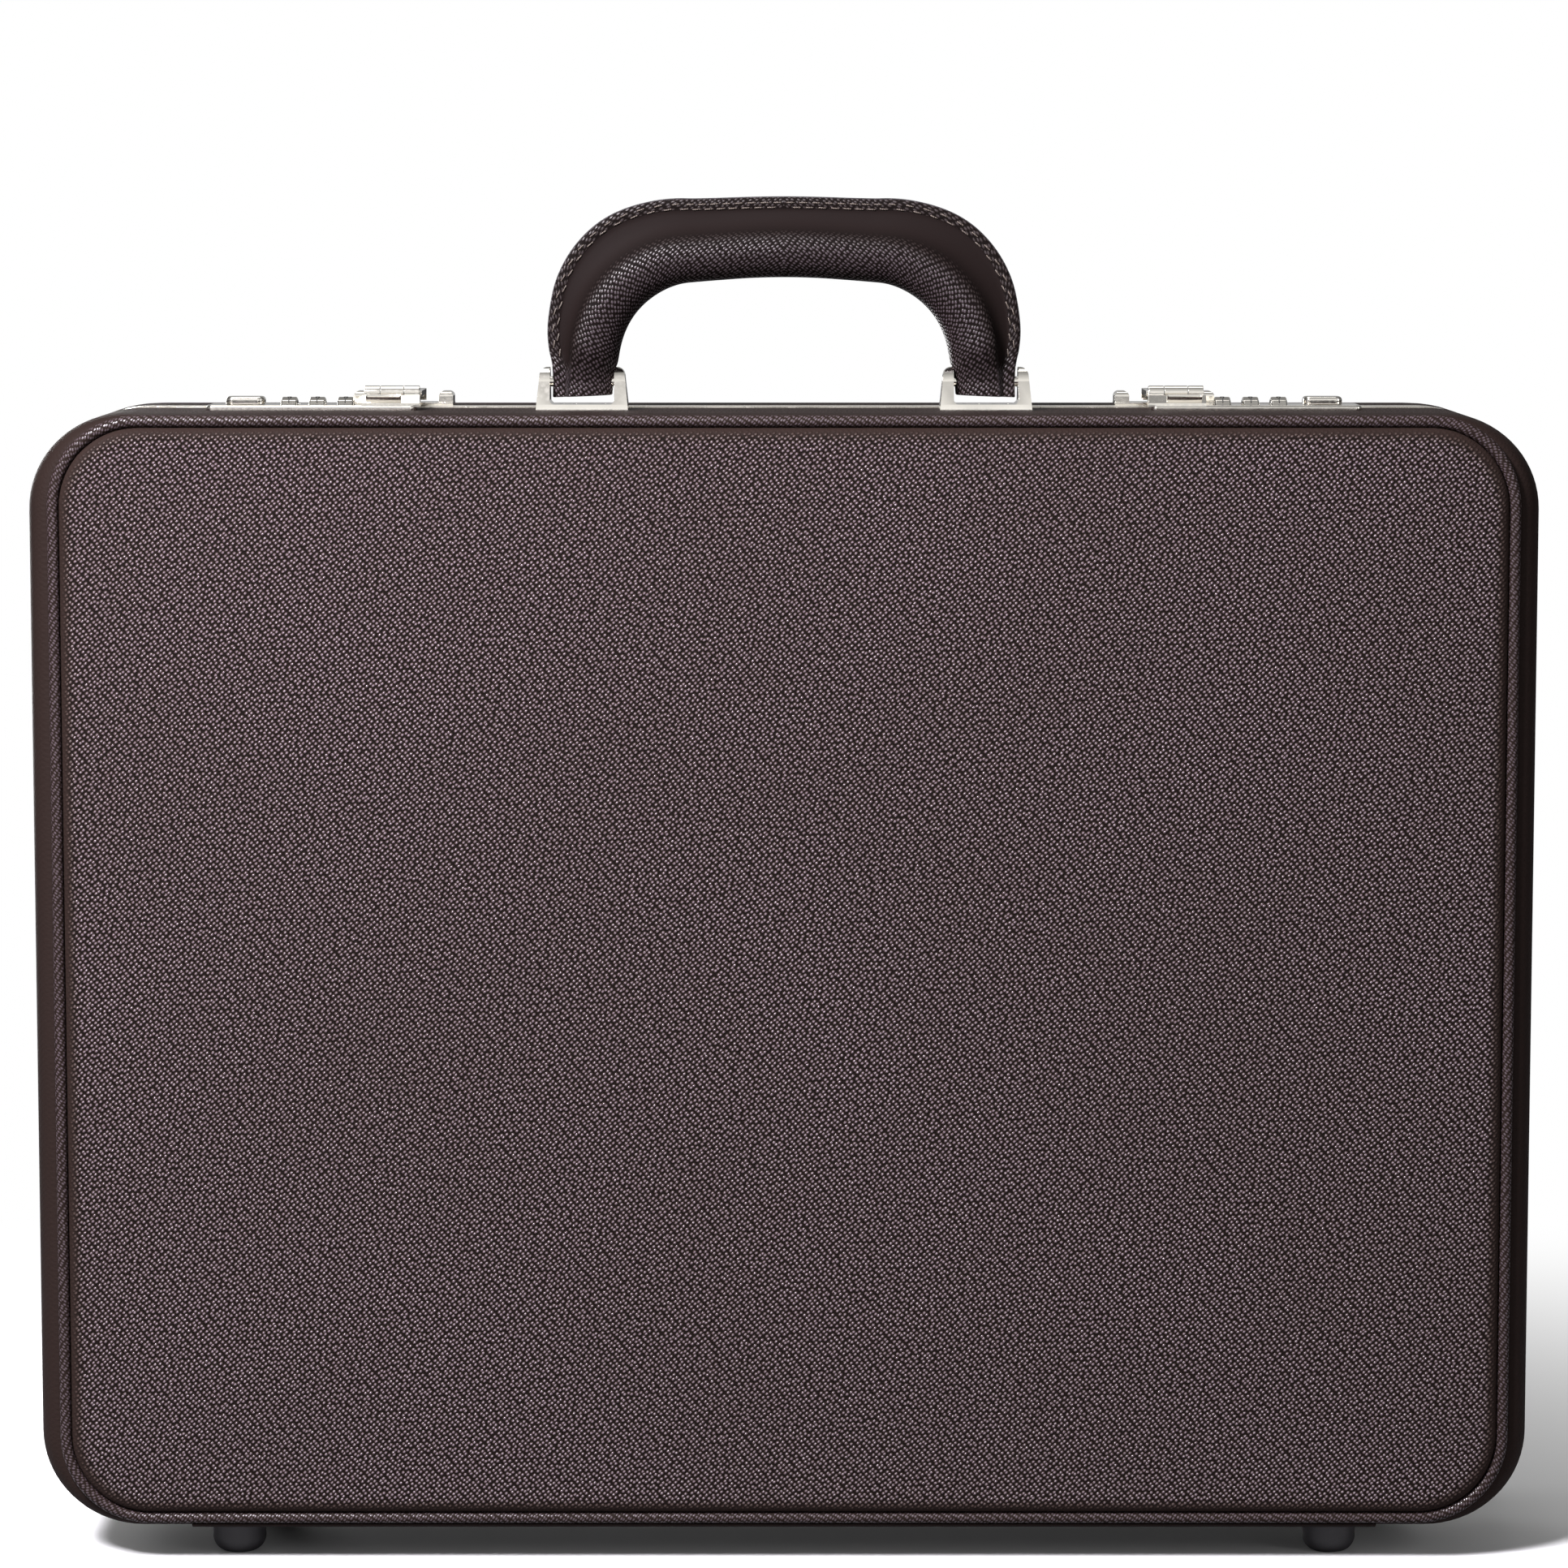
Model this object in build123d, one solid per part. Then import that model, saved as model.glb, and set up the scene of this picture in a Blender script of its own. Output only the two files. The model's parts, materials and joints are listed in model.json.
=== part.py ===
from build123d import *
import os
from math import atan2, cos, sin, sqrt

# Hard-framed leather attache case, closed and standing on its four feet.
# Millimetres. +X is to the right as seen from the front, the front panel faces -Y and +Z is up.
# The origin is on the floor, under the middle of the case.
# Two trays, a deep body in front and a shallower lid behind, meet at an upright seam and are
# joined by a piano hinge along the bottom. The body carries the handle and both locks.

# ---- overall sizes ----
CASE_WIDTH = 460.0
CASE_HEIGHT = 344.0
BODY_DEPTH = 60.5
LID_DEPTH = 44.5
FOOT_HEIGHT = 10.5
CORNER_RADIUS = 32.0

# ---- layers of a tray, from the outside in ----
LEATHER = 1.6
BOARD = 5.0
FACE_BOARD = 5.0
LINING = 1.0
PANEL_LEATHER = 1.4
PADDING = 3.5

# ---- padded panel, piping and shoulder ----
PANEL_SIDE_MARGIN = 10.6
PANEL_TOP_MARGIN = 3.8
PANEL_BOTTOM_MARGIN = 6.0
PANEL_RADIUS = 24.0
PANEL_EDGE_ROUND = 3.0
PIPING_DIAMETER = 3.6
PIPING_CLEARANCE = 0.1
SHOULDER_DEPTH = 10.0
BOTTOM_STRIP_END = 47.0
BOTTOM_STRIP_RISE = 20.0

# ---- metal rims that meet at the seam ----
RIM_WIDTH = 4.6
RIM_PROUD = 0.4
SEAM_GAP = 0.8
FLANGE = 1.0
FLANGE_WIDTH = 6.0
TONGUE_INSET = 3.5
TONGUE_THICKNESS = 1.5
TONGUE_REACH = 3.4
TONGUE_CLEARANCE = 0.3
TONGUE_START = 24.0
GROOVE_DEPTH = 3.6

# ---- piano hinge ----
KNUCKLE_RADIUS = 2.3
HINGE_PIN_RADIUS = 1.0
HINGE_SEGMENTS = 21
HINGE_END_GAP = 0.6
LEAF = 1.0
LEAF_WIDTH = 14.0
RUNNING_CLEARANCE = 0.08
KNUCKLE_GAP = 0.3
KNUCKLE_RELIEF = 0.4
RELIEF_OVERRUN = 12.0
RECESS_CLEARANCE = 0.2

# ---- feet ----
FOOT_FROM_SIDE = 60.0
FOOT_FROM_SEAM_BODY = 38.0
FOOT_FROM_SEAM_LID = 22.0
FOOT_RADIUS = 8.5
FOOT_TREAD_RADIUS = 5.2
FOOT_SKIRT = 5.5
SCREW_RADIUS = 1.5
SCREW_HEAD_RADIUS = 3.0
SCREW_HEAD = 1.8
SCREW_SEAT = 4.0
SCREW_BITE = 4.0
SCREW_SLOT = 0.8

# ---- handle and its brackets ----
BRACKET_X = 62.2
HANDLE_FROM_SEAM = 19.0
GRIP_RADIUS = 8.8
GRIP_RISE = 41.4
GRIP_INSET = 0.8
GRIP_LEAN = 1.4
GRIP_CROWN = 4.5
GRIP_BEND = 29.0
GRIP_CROWN_BEND = 200.0
HANDLE_LEATHER = 1.4
HANDLE_CORE_RADIUS = 2.2
HANDLE_END_MARGIN = 0.7
WELT_REACH = 16.0
WELT_THICKNESS = 3.2
END_HALF_THICKNESS = 4.5
END_TAPER_LOW = 4.0
END_TAPER_HIGH = 14.0
EYE_RADIUS = 2.9
EYE_WIDTH = 8.0
BRACKET_PIN_RADIUS = 1.6
BRACKET_PIN_RISE = 8.7
BRACKET_BASE = 1.8
BRACKET_DEPTH = 14.0
BRACKET_TAPER = 1.3
EAR_THICKNESS = 4.3
EAR_CLEARANCE = 0.4
EAR_RADIUS = 4.5
EAR_ROUND = 2.6
BRACKET_INNER_ROUND = 1.5
RIVET_RADIUS = 1.5
RIVET_HEAD_RADIUS = 2.6
RIVET_HEAD = 0.9
RIVET_SPREAD = 9.0
BACKING = 1.0
BACKING_LENGTH = 34.0

# ---- combination locks ----
LOCK_FROM_SIDE = 84.5
LOCK_CASE_TO_FLANGE = 0.1
PLATE_LENGTH = 65.0
PLATE_WIDTH = 19.4
PLATE = 1.5
PLATE_OFFSET = 1.8
PLATE_ROUND = 2.0
LOCK_CASE_MARGIN = 1.5
LOCK_CASE_CLEARANCE = 0.7
DIAL_TO_BOLT = 1.4
LOCK_CASE_WALL = 0.6
CUTOUT_CLEARANCE = 0.1
DIAL_COUNT = 3
DIAL_SIDES = 10
DIAL_RADIUS = 5.0
DIAL_WIDTH = 5.0
DIAL_PITCH = 8.7
DIAL_OFFSET = -1.4
DIAL_SHOW = 2.4
DIAL_WINDOW_CLEARANCE = 0.3
AXLE_RADIUS = 1.0
AXLE_POST = 1.0
AXLE_POST_GAP = 1.6
BUTTON_OFFSET = 20.8
BUTTON_LENGTH = 12.0
BUTTON_WIDTH = 7.4
BUTTON_HEIGHT = 2.5
BUTTON_LIFT = 0.1
BUTTON_ROUND = 1.1
BUTTON_TRAVEL = 4.0
STEM_LENGTH = 4.0
STEM_WIDTH = 3.0
SLOT_CLEARANCE = 0.3
BOLT_HEIGHT = 1.4
BOLT_WIDTH = 5.0
BOLT_FLOOR_GAP = 0.3
SPRING_RADIUS = 1.5
SPRING_WIRE = 0.25
SPRING_TURNS = 4.0
SPRING_END_GAP = 0.15

# ---- hasps and keepers ----
HASP_OFFSET = -24.4
HASP_WIDTH = 17.8
HASP_BARREL_RADIUS = 2.1
HASP_BARREL_RISE = 5.2
HASP_BARREL_HALF = 8.45
HASP_MIDDLE_HALF = 3.55
HASP_PIN_RADIUS = 0.8
HASP_THICKNESS = 1.8
HASP_REACH = 27.5
HASP_LIP = 1.8
HASP_LIP_CLEARANCE = 0.4
HASP_SIDE_GAP = 0.25
HOUSING_DEPTH = 5.8
HOUSING_HEIGHT = 3.1
HOUSING_SLOPE = 2.4
KEEPER = 1.2
KEEPER_WIDTH = 12.0
KEEPER_FROM_RIM = 0.3
KEEPER_INNER_REACH = 17.4
KEEPER_OUTER_REACH = 13.8
KEEPER_EAR = 4.5
KEEPER_EAR_HEIGHT = 4.7
KEEPER_EAR_ROUND = 1.6
KEEPER_EAR_INSET = 1.0
KEEPER_RIVET_RADIUS = 1.0
KEEPER_RIVET_HEAD_RADIUS = 1.8
KEEPER_RIVET_HEAD = 0.3

# ---- lid stays ----
LID_OPEN_ANGLE = 95.0
STAY_RISE = 95.0
STAY_FROM_SEAM = 6.0
STAY_SHARE = 0.85
STAY_WIDTH = 8.0
STAY_THICKNESS = 1.2
STAY_GAP = 0.3
STAY_WALL_GAP = 0.4
STAY_HEAD_CLEARANCE = 0.1
STAY_STUD_RADIUS = 1.5
STAY_STUD_CLEARANCE = 0.06
STAY_HEAD_RADIUS = 3.0
STAY_HEAD = 0.8

# ---- document organiser in the lid ----
ORGANISER_THICKNESS = 2.0
ORGANISER_FROM_FLOOR = 14.0
ORGANISER_SIDE_GAP = 24.0
ORGANISER_BOTTOM_GAP = 6.0
ORGANISER_TOP_GAP = 58.0
POCKET_GUSSET = 1.0
CARD_POCKET_WIDTH = 104.0
CARD_POCKET_HEIGHTS = (112.0, 92.0, 72.0)
CARD_POCKET_LEATHER = 1.0
CARD_POCKET_X = -118.0
CARD_POCKET_BASE = 60.0
PHONE_POCKET_WIDTH = 92.0
PHONE_POCKET_HEIGHT = 128.0
PHONE_POCKET_THICKNESS = 3.0
PHONE_POCKET_X = 20.0
PEN_LOOP_RADIUS = 6.0
PEN_LOOP_LEATHER = 1.2
PEN_LOOP_HEIGHT = 26.0
PEN_LOOP_XS = (112.0, 134.0, 156.0)
PEN_LOOP_BASE = 118.0

# ---- places worked out from the sizes above ----
HALF_DEPTH = (BODY_DEPTH + LID_DEPTH) / 2
BOTTOM_STRIP_HALF = CASE_WIDTH / 2 - BOTTOM_STRIP_END
FOOT_X = CASE_WIDTH / 2 - FOOT_FROM_SIDE
LOCK_X = CASE_WIDTH / 2 - LOCK_FROM_SIDE
SEAM_Y = BODY_DEPTH - HALF_DEPTH
BOTTOM_Z = FOOT_HEIGHT
TOP_Z = BOTTOM_Z + CASE_HEIGHT
MIDDLE_Z = (BOTTOM_Z + TOP_Z) / 2
PANEL_MARGIN = (PANEL_TOP_MARGIN + PANEL_BOTTOM_MARGIN) / 2
PANEL_LIFT = (PANEL_BOTTOM_MARGIN - PANEL_TOP_MARGIN) / 2
FACE_S = PANEL_LEATHER + PADDING
SHOULDER_S = FACE_S + SHOULDER_DEPTH
CAVITY_INSET = LEATHER + BOARD
LINING_INSET = CAVITY_INSET + LINING
OPENING_INSET = LINING_INSET + FLANGE
HINGE_LENGTH = CASE_WIDTH - 2 * CORNER_RADIUS - 2 * HINGE_END_GAP
HINGE_PITCH = HINGE_LENGTH / HINGE_SEGMENTS
LEAF_LOW = BOTTOM_Z + LEATHER
LEAF_HIGH = LEAF_LOW + LEAF
HINGE_Z = LEAF_HIGH - KNUCKLE_RADIUS
HANDLE_Y = SEAM_Y - HANDLE_FROM_SEAM
PIN_Z = TOP_Z + BRACKET_PIN_RISE
HANDLE_END_HALF_WIDTH = GRIP_RADIUS + HANDLE_END_MARGIN
GRIP_LEG_X = BRACKET_X - GRIP_INSET
EAR_GAP_HALF = HANDLE_END_HALF_WIDTH + EAR_CLEARANCE
BRACKET_HALF = EAR_GAP_HALF + EAR_THICKNESS
PIN_HALF = BRACKET_HALF - BRACKET_TAPER * BRACKET_PIN_RISE / (BRACKET_PIN_RISE + EAR_RADIUS)
LOCK_CASE_WIDTH = 2 * (DIAL_RADIUS + LOCK_CASE_CLEARANCE + LOCK_CASE_WALL)
LOCK_FROM_SEAM = SEAM_GAP / 2 + RIM_WIDTH + FLANGE_WIDTH + LOCK_CASE_TO_FLANGE + LOCK_CASE_WIDTH / 2
LOCK_Y = SEAM_Y - LOCK_FROM_SEAM
PLATE_TOP = TOP_Z + PLATE
PLATE_Y = LOCK_Y + PLATE_OFFSET
DIAL_Z = PLATE_TOP + DIAL_SHOW - DIAL_RADIUS
LOCK_FLOOR = DIAL_Z - DIAL_RADIUS - DIAL_TO_BOLT - BOLT_HEIGHT - BOLT_FLOOR_GAP - LOCK_CASE_WALL
HASP_Z = TOP_Z + HASP_BARREL_RISE
HASP_Y = LOCK_Y + 0.5
STAY_RADIUS = sqrt(STAY_RISE**2 + STAY_FROM_SEAM**2)
STAY_LENGTH = STAY_SHARE * STAY_RADIUS
STAY_ELBOW_RISE = STAY_RISE + sqrt(STAY_LENGTH**2 - STAY_FROM_SEAM**2)

os.makedirs("parts", exist_ok=True)


class Half:
    """One tray. s is the distance from its outer face, through the tray, towards the seam."""

    def __init__(self, name, depth, side):
        self.name, self.depth, self.side = name, depth, side
        self.edge = depth - SEAM_GAP / 2 - RIM_WIDTH

    def y(self, s):
        return self.side * (HALF_DEPTH - s)


BODY = Half("body", BODY_DEPTH, -1)
LID = Half("lid", LID_DEPTH, 1)


def save(name, *shapes):
    """Writes one node, a group of separate solids."""
    solids = [solid for shape in shapes for solid in shape.solids()]
    export_step(solids[0] if len(solids) == 1 else Compound(children=solids), f"parts/{name}.step")


def box(x, y, z):
    """A box between pairs of coordinates, each pair in any order."""
    sides = [abs(pair[1] - pair[0]) for pair in (x, y, z)]
    middle = [(pair[0] + pair[1]) / 2 for pair in (x, y, z)]
    return Pos(*middle) * Box(*sides)


def rod_x(radius, x, y, z):
    """A round bar along X between two x coordinates."""
    low, high = sorted(x)
    return extrude(Plane(origin=(low, y, z), z_dir=(1, 0, 0)) * Circle(radius), amount=high - low)


def rod_z(radius, x, y, z):
    """A round bar along Z between two z coordinates."""
    low, high = sorted(z)
    return extrude(Plane(origin=(x, y, low), z_dir=(0, 0, 1)) * Circle(radius), amount=high - low)


def outline(y, side, top, radius):
    """A rounded rectangle on the upright plane at y, inset from the outside of the case."""
    plane = Plane(origin=(0, y, MIDDLE_Z), x_dir=(1, 0, 0), z_dir=(0, 1, 0))
    return plane * RectangleRounded(CASE_WIDTH - 2 * side, CASE_HEIGHT - 2 * top, radius)


def prism(half, start, end, side, top, radius):
    """The outline carried through a tray from one depth to another."""
    low, high = sorted((half.y(start), half.y(end)))
    return extrude(outline(low, side, top, radius), amount=high - low)


def layer(half, inset, start, end):
    """A straight block whose sides lie one inset inside the leather."""
    return prism(half, start, end, inset, inset, CORNER_RADIUS - inset)


def tray_block(half, inset):
    """The outside of a tray: straight sides with a sloping shoulder down to the piping."""
    side = PANEL_SIDE_MARGIN - PIPING_DIAMETER + inset
    top = PANEL_MARGIN - PIPING_DIAMETER + inset
    radius = PANEL_RADIUS + PIPING_DIAMETER - inset
    front = Pos(0, 0, PANEL_LIFT) * outline(half.y(FACE_S), side, top, radius)
    back = outline(half.y(SHOULDER_S), inset, inset, CORNER_RADIUS - inset)
    shoulder = loft([front.face(), back.face()], ruled=True)
    return shoulder + layer(half, inset, SHOULDER_S, half.edge)


# ---- what passes through the walls ----


def foot_places(half):
    from_seam = FOOT_FROM_SEAM_BODY if half is BODY else FOOT_FROM_SEAM_LID
    return [(x, SEAM_Y + half.side * from_seam) for x in (-FOOT_X, FOOT_X)]


def foot_holes(half):
    top = LEAF_LOW + SCREW_BITE
    return [rod_z(SCREW_RADIUS, x, y, (BOTTOM_Z - 1, top)) for x, y in foot_places(half)]


def bracket_rivet_places():
    spread = RIVET_SPREAD / 2
    return [(side * BRACKET_X + dx, HANDLE_Y) for side in (-1, 1) for dx in (-spread, spread)]


def bracket_rivet_shanks():
    low = TOP_Z - LINING_INSET - BACKING
    return [rod_z(RIVET_RADIUS, x, y, (low, TOP_Z + BRACKET_BASE)) for x, y in bracket_rivet_places()]


def bracket_rivet_heads():
    """Flat heads, let into the bracket's base."""
    z_pair = (TOP_Z + BRACKET_BASE - RIVET_HEAD, TOP_Z + BRACKET_BASE)
    return [rod_z(RIVET_HEAD_RADIUS, x, y, z_pair) for x, y in bracket_rivet_places()]


def lock_cutouts():
    half_length = PLATE_LENGTH / 2 - LOCK_CASE_MARGIN + CUTOUT_CLEARANCE
    half_width = LOCK_CASE_WIDTH / 2 + CUTOUT_CLEARANCE
    cuts = []
    for side in (-1, 1):
        x = side * LOCK_X
        x_pair = (x - half_length, x + half_length)
        y_pair = (LOCK_Y - half_width, LOCK_Y + half_width)
        cuts.append(box(x_pair, y_pair, (TOP_Z - LINING_INSET - 1, TOP_Z + 1)))
    return cuts


def keeper_rivet_places():
    y = SEAM_Y + SEAM_GAP / 2 + RIM_WIDTH + KEEPER_FROM_RIM + KEEPER_WIDTH * 0.62
    middle = LOCK_X + HASP_OFFSET
    return [(side * (middle + dx), y) for side in (-1, 1) for dx in (-5.0, 5.0)]


def keeper_rivet_shanks():
    low = TOP_Z - LEATHER - BOARD * 0.7
    return [rod_z(KEEPER_RIVET_RADIUS, x, y, (low, TOP_Z + KEEPER)) for x, y in keeper_rivet_places()]


def top_cuts(half):
    return lock_cutouts() + bracket_rivet_shanks() if half is BODY else keeper_rivet_shanks()


def leaf_recess(half):
    half_length = HINGE_LENGTH / 2 + RECESS_CLEARANCE
    return box((-half_length, half_length), (SEAM_Y, SEAM_Y + half.side * LEAF_WIDTH), (LEAF_LOW, LEAF_HIGH))


# ---- trays ----


def make_board(half):
    """The bent-ply tray that gives a half its stiffness."""
    cavity = layer(half, CAVITY_INSET, FACE_S + FACE_BOARD, half.edge + 1)
    tray = tray_block(half, LEATHER) - cavity - leaf_recess(half)
    for cut in top_cuts(half) + foot_holes(half):
        tray -= cut
    save(f"{half.name}_board", tray)


def make_cover(half):
    """The leather round the sides, in two strips that overlap at the bottom near the corners."""
    skin = tray_block(half, 0) - tray_block(half, LEATHER)
    for cut in top_cuts(half) + foot_holes(half):
        skin -= cut
    x_pair = (-BOTTOM_STRIP_HALF, BOTTOM_STRIP_HALF)
    strip_zone = box(x_pair, (-HALF_DEPTH, HALF_DEPTH), (0, BOTTOM_Z + BOTTOM_STRIP_RISE))
    save(f"{half.name}_side_leather", skin - strip_zone)
    save(f"{half.name}_bottom_leather", skin & strip_zone)


def make_panel(half):
    """The padded panel on a tray's face: foam, and the leather drawn over it."""
    side = PANEL_SIDE_MARGIN + PIPING_CLEARANCE
    top = PANEL_MARGIN + PIPING_CLEARANCE
    outside = prism(half, 0, FACE_S, side, top, PANEL_RADIUS)
    face = outside.faces().sort_by(Axis.Y)[0 if half is BODY else -1]
    outside = fillet(face.edges(), PANEL_EDGE_ROUND)
    skirt = PANEL_LEATHER * 0.85
    foam = prism(half, PANEL_LEATHER, FACE_S, side + skirt, top + skirt, PANEL_RADIUS - skirt)
    foam_face = foam.faces().sort_by(Axis.Y)[0 if half is BODY else -1]
    foam = fillet(foam_face.edges(), PANEL_EDGE_ROUND - skirt)
    lift = Pos(0, 0, PANEL_LIFT)
    save(f"{half.name}_panel_padding", lift * foam)
    save(f"{half.name}_panel_leather", lift * (outside - foam))


def make_piping(half):
    """The leather-covered cord that runs round the panel."""
    side = PANEL_SIDE_MARGIN - PIPING_DIAMETER / 2
    top = PANEL_MARGIN - PIPING_DIAMETER / 2
    y = half.y(FACE_S - PIPING_DIAMETER / 2)
    path = outline(y, side, top, PANEL_RADIUS + PIPING_DIAMETER / 2).face().outer_wire()
    section = Plane(origin=path @ 0, z_dir=path % 0) * Circle(PIPING_DIAMETER / 2)
    save(f"{half.name}_piping", Pos(0, 0, PANEL_LIFT) * sweep(section, path=path))


def make_lining(half):
    """The cloth tray glued inside the board."""
    floor = FACE_S + FACE_BOARD
    cloth = layer(half, CAVITY_INSET, floor, half.edge) - layer(half, LINING_INSET, floor + LINING, half.edge)
    for cut in top_cuts(half):
        cloth -= cut
    save(f"{half.name}_lining", cloth)


def ring(half, outer_inset, inner_inset, start, end):
    return layer(half, outer_inset, start, end) - layer(half, inner_inset, start, end)


def make_rim(half):
    """The metal rim that caps the tray's edge. The lid's tongue runs in the body's groove."""
    face = half.depth - SEAM_GAP / 2
    rim = ring(half, -RIM_PROUD, OPENING_INSET, half.edge, face)
    rim += ring(half, LINING_INSET, OPENING_INSET, half.edge - FLANGE_WIDTH, half.edge)
    low, high = TONGUE_INSET, TONGUE_INSET + TONGUE_THICKNESS
    if half is BODY:
        rim -= ring(half, low - TONGUE_CLEARANCE, high + TONGUE_CLEARANCE, face - GROOVE_DEPTH, face)
    else:
        tongue = ring(half, low, high, face, face + TONGUE_REACH)
        half_width = CASE_WIDTH / 2
        tongue -= box((-half_width, half_width), (-HALF_DEPTH, HALF_DEPTH), (0, BOTTOM_Z + TONGUE_START))
        rim += tongue
    half_length = HINGE_LENGTH / 2 + RELIEF_OVERRUN
    rim -= rod_x(KNUCKLE_RADIUS + KNUCKLE_RELIEF, (-half_length, half_length), SEAM_Y, HINGE_Z)
    rim -= leaf_recess(half)
    save(f"{half.name}_rim", rim)


# ---- hinge ----


def make_leaf(half):
    """A hinge leaf with every other knuckle, lying in its recess under the tray's edge."""
    near = SEAM_Y + half.side * (KNUCKLE_RADIUS + KNUCKLE_RELIEF)
    far = SEAM_Y + half.side * LEAF_WIDTH
    half_length = HINGE_LENGTH / 2
    leaf = box((-half_length, half_length), (near, far), (LEAF_LOW, LEAF_HIGH))
    for i in range(0 if half is BODY else 1, HINGE_SEGMENTS, 2):
        start = -half_length + i * HINGE_PITCH + KNUCKLE_GAP / 2
        x_pair = (start, start + HINGE_PITCH - KNUCKLE_GAP)
        leaf += box(x_pair, (SEAM_Y, near), (LEAF_LOW, LEAF_HIGH))
        leaf += rod_x(KNUCKLE_RADIUS, x_pair, SEAM_Y, HINGE_Z)
    bore = HINGE_PIN_RADIUS + (0 if half is BODY else RUNNING_CLEARANCE)
    leaf -= rod_x(bore, (-half_length - 1, half_length + 1), SEAM_Y, HINGE_Z)
    save(f"hinge_leaf_{half.name}", leaf)


def make_hinge_pin():
    save("hinge_pin", rod_x(HINGE_PIN_RADIUS, (-HINGE_LENGTH / 2, HINGE_LENGTH / 2), SEAM_Y, HINGE_Z))


# ---- feet ----


def foot(x, y):
    """A rubber foot with a counterbored screw hole."""
    profile = [
        Line((SCREW_HEAD_RADIUS + 0.2, 0), (FOOT_TREAD_RADIUS, 0)),
        ThreePointArc(
            (FOOT_TREAD_RADIUS, 0),
            ((FOOT_TREAD_RADIUS + FOOT_RADIUS) / 2 + 0.7, FOOT_SKIRT * 0.36),
            (FOOT_RADIUS - 0.3, FOOT_SKIRT),
        ),
        Polyline(
            (FOOT_RADIUS - 0.3, FOOT_SKIRT),
            (FOOT_RADIUS, FOOT_HEIGHT),
            (SCREW_RADIUS, FOOT_HEIGHT),
            (SCREW_RADIUS, SCREW_SEAT),
            (SCREW_HEAD_RADIUS + 0.2, SCREW_SEAT),
            (SCREW_HEAD_RADIUS + 0.2, 0),
        ),
    ]
    section = make_face(Plane.XZ * Curve(profile))
    return Pos(x, y, 0) * revolve(section, Axis.Z)


def foot_screw(x, y):
    head = rod_z(SCREW_HEAD_RADIUS, x, y, (SCREW_SEAT - SCREW_HEAD, SCREW_SEAT))
    slot_z = (SCREW_SEAT - SCREW_HEAD, SCREW_SEAT - SCREW_HEAD + SCREW_SLOT)
    x_pair = (x - SCREW_HEAD_RADIUS, x + SCREW_HEAD_RADIUS)
    head -= box(x_pair, (y - SCREW_SLOT / 2, y + SCREW_SLOT / 2), slot_z)
    return head + rod_z(SCREW_RADIUS, x, y, (SCREW_SEAT, LEAF_LOW + SCREW_BITE))


def make_feet(half):
    save(f"{half.name}_feet", *[foot(x, y) for x, y in foot_places(half)])
    save(f"{half.name}_foot_screws", *[foot_screw(x, y) for x, y in foot_places(half)])


# ---- handle ----


def handle_path():
    """The middle line of the grip, from one bracket over to the other."""
    corner_x, corner_z = GRIP_LEG_X - GRIP_LEAN, PIN_Z + GRIP_RISE - GRIP_CROWN
    points = [
        (-GRIP_LEG_X, HANDLE_Y, PIN_Z - END_HALF_THICKNESS),
        (-corner_x, HANDLE_Y, corner_z),
        (0, HANDLE_Y, corner_z + GRIP_CROWN),
        (corner_x, HANDLE_Y, corner_z),
        (GRIP_LEG_X, HANDLE_Y, PIN_Z - END_HALF_THICKNESS),
    ]
    return FilletPolyline(*points, radius=[GRIP_BEND, GRIP_CROWN_BEND, GRIP_BEND])


def tube(path, radius):
    return sweep(Plane(origin=path @ 0, z_dir=path % 0) * Circle(radius), path=path)


def welt(path):
    """The flat seam allowance that stands out round the outside of the grip."""
    section = Plane(origin=path @ 0, x_dir=(0, 1, 0), z_dir=path % 0)
    outward = -1 if section.y_dir.X > 0 else 1
    rectangle = Pos(0, outward * WELT_REACH / 2) * Rectangle(WELT_THICKNESS, WELT_REACH)
    strip = sweep(section * rectangle, path=path)
    reach = BRACKET_X + HANDLE_END_HALF_WIDTH
    return strip & box((-reach, reach), (-HALF_DEPTH, HALF_DEPTH), (TOP_Z, TOP_Z + 2 * PIN_Z))


def end_profile(outset):
    """The handle seen from its end, flattened and rounded round the pins at the bottom."""
    thin, wide = END_HALF_THICKNESS - outset, GRIP_RADIUS + 1 - outset
    high = GRIP_RISE + WELT_REACH + 5
    right = [(thin, 0), (thin, END_TAPER_LOW), (wide, END_TAPER_HIGH), (wide, high)]
    left = [(-y, z) for y, z in reversed(right)]
    shape = make_face(Polyline(*right, *left, close=True)) + Circle(thin)
    half_length = BRACKET_X + HANDLE_END_HALF_WIDTH
    plane = Plane(origin=(-half_length, HANDLE_Y, PIN_Z), x_dir=(0, 1, 0), z_dir=(1, 0, 0))
    return extrude(plane * shape, amount=2 * half_length)


def pin_rods(radius, half_length):
    spans = [(side * BRACKET_X - half_length, side * BRACKET_X + half_length) for side in (-1, 1)]
    return [rod_x(radius, span, HANDLE_Y, PIN_Z) for span in spans]


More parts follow.
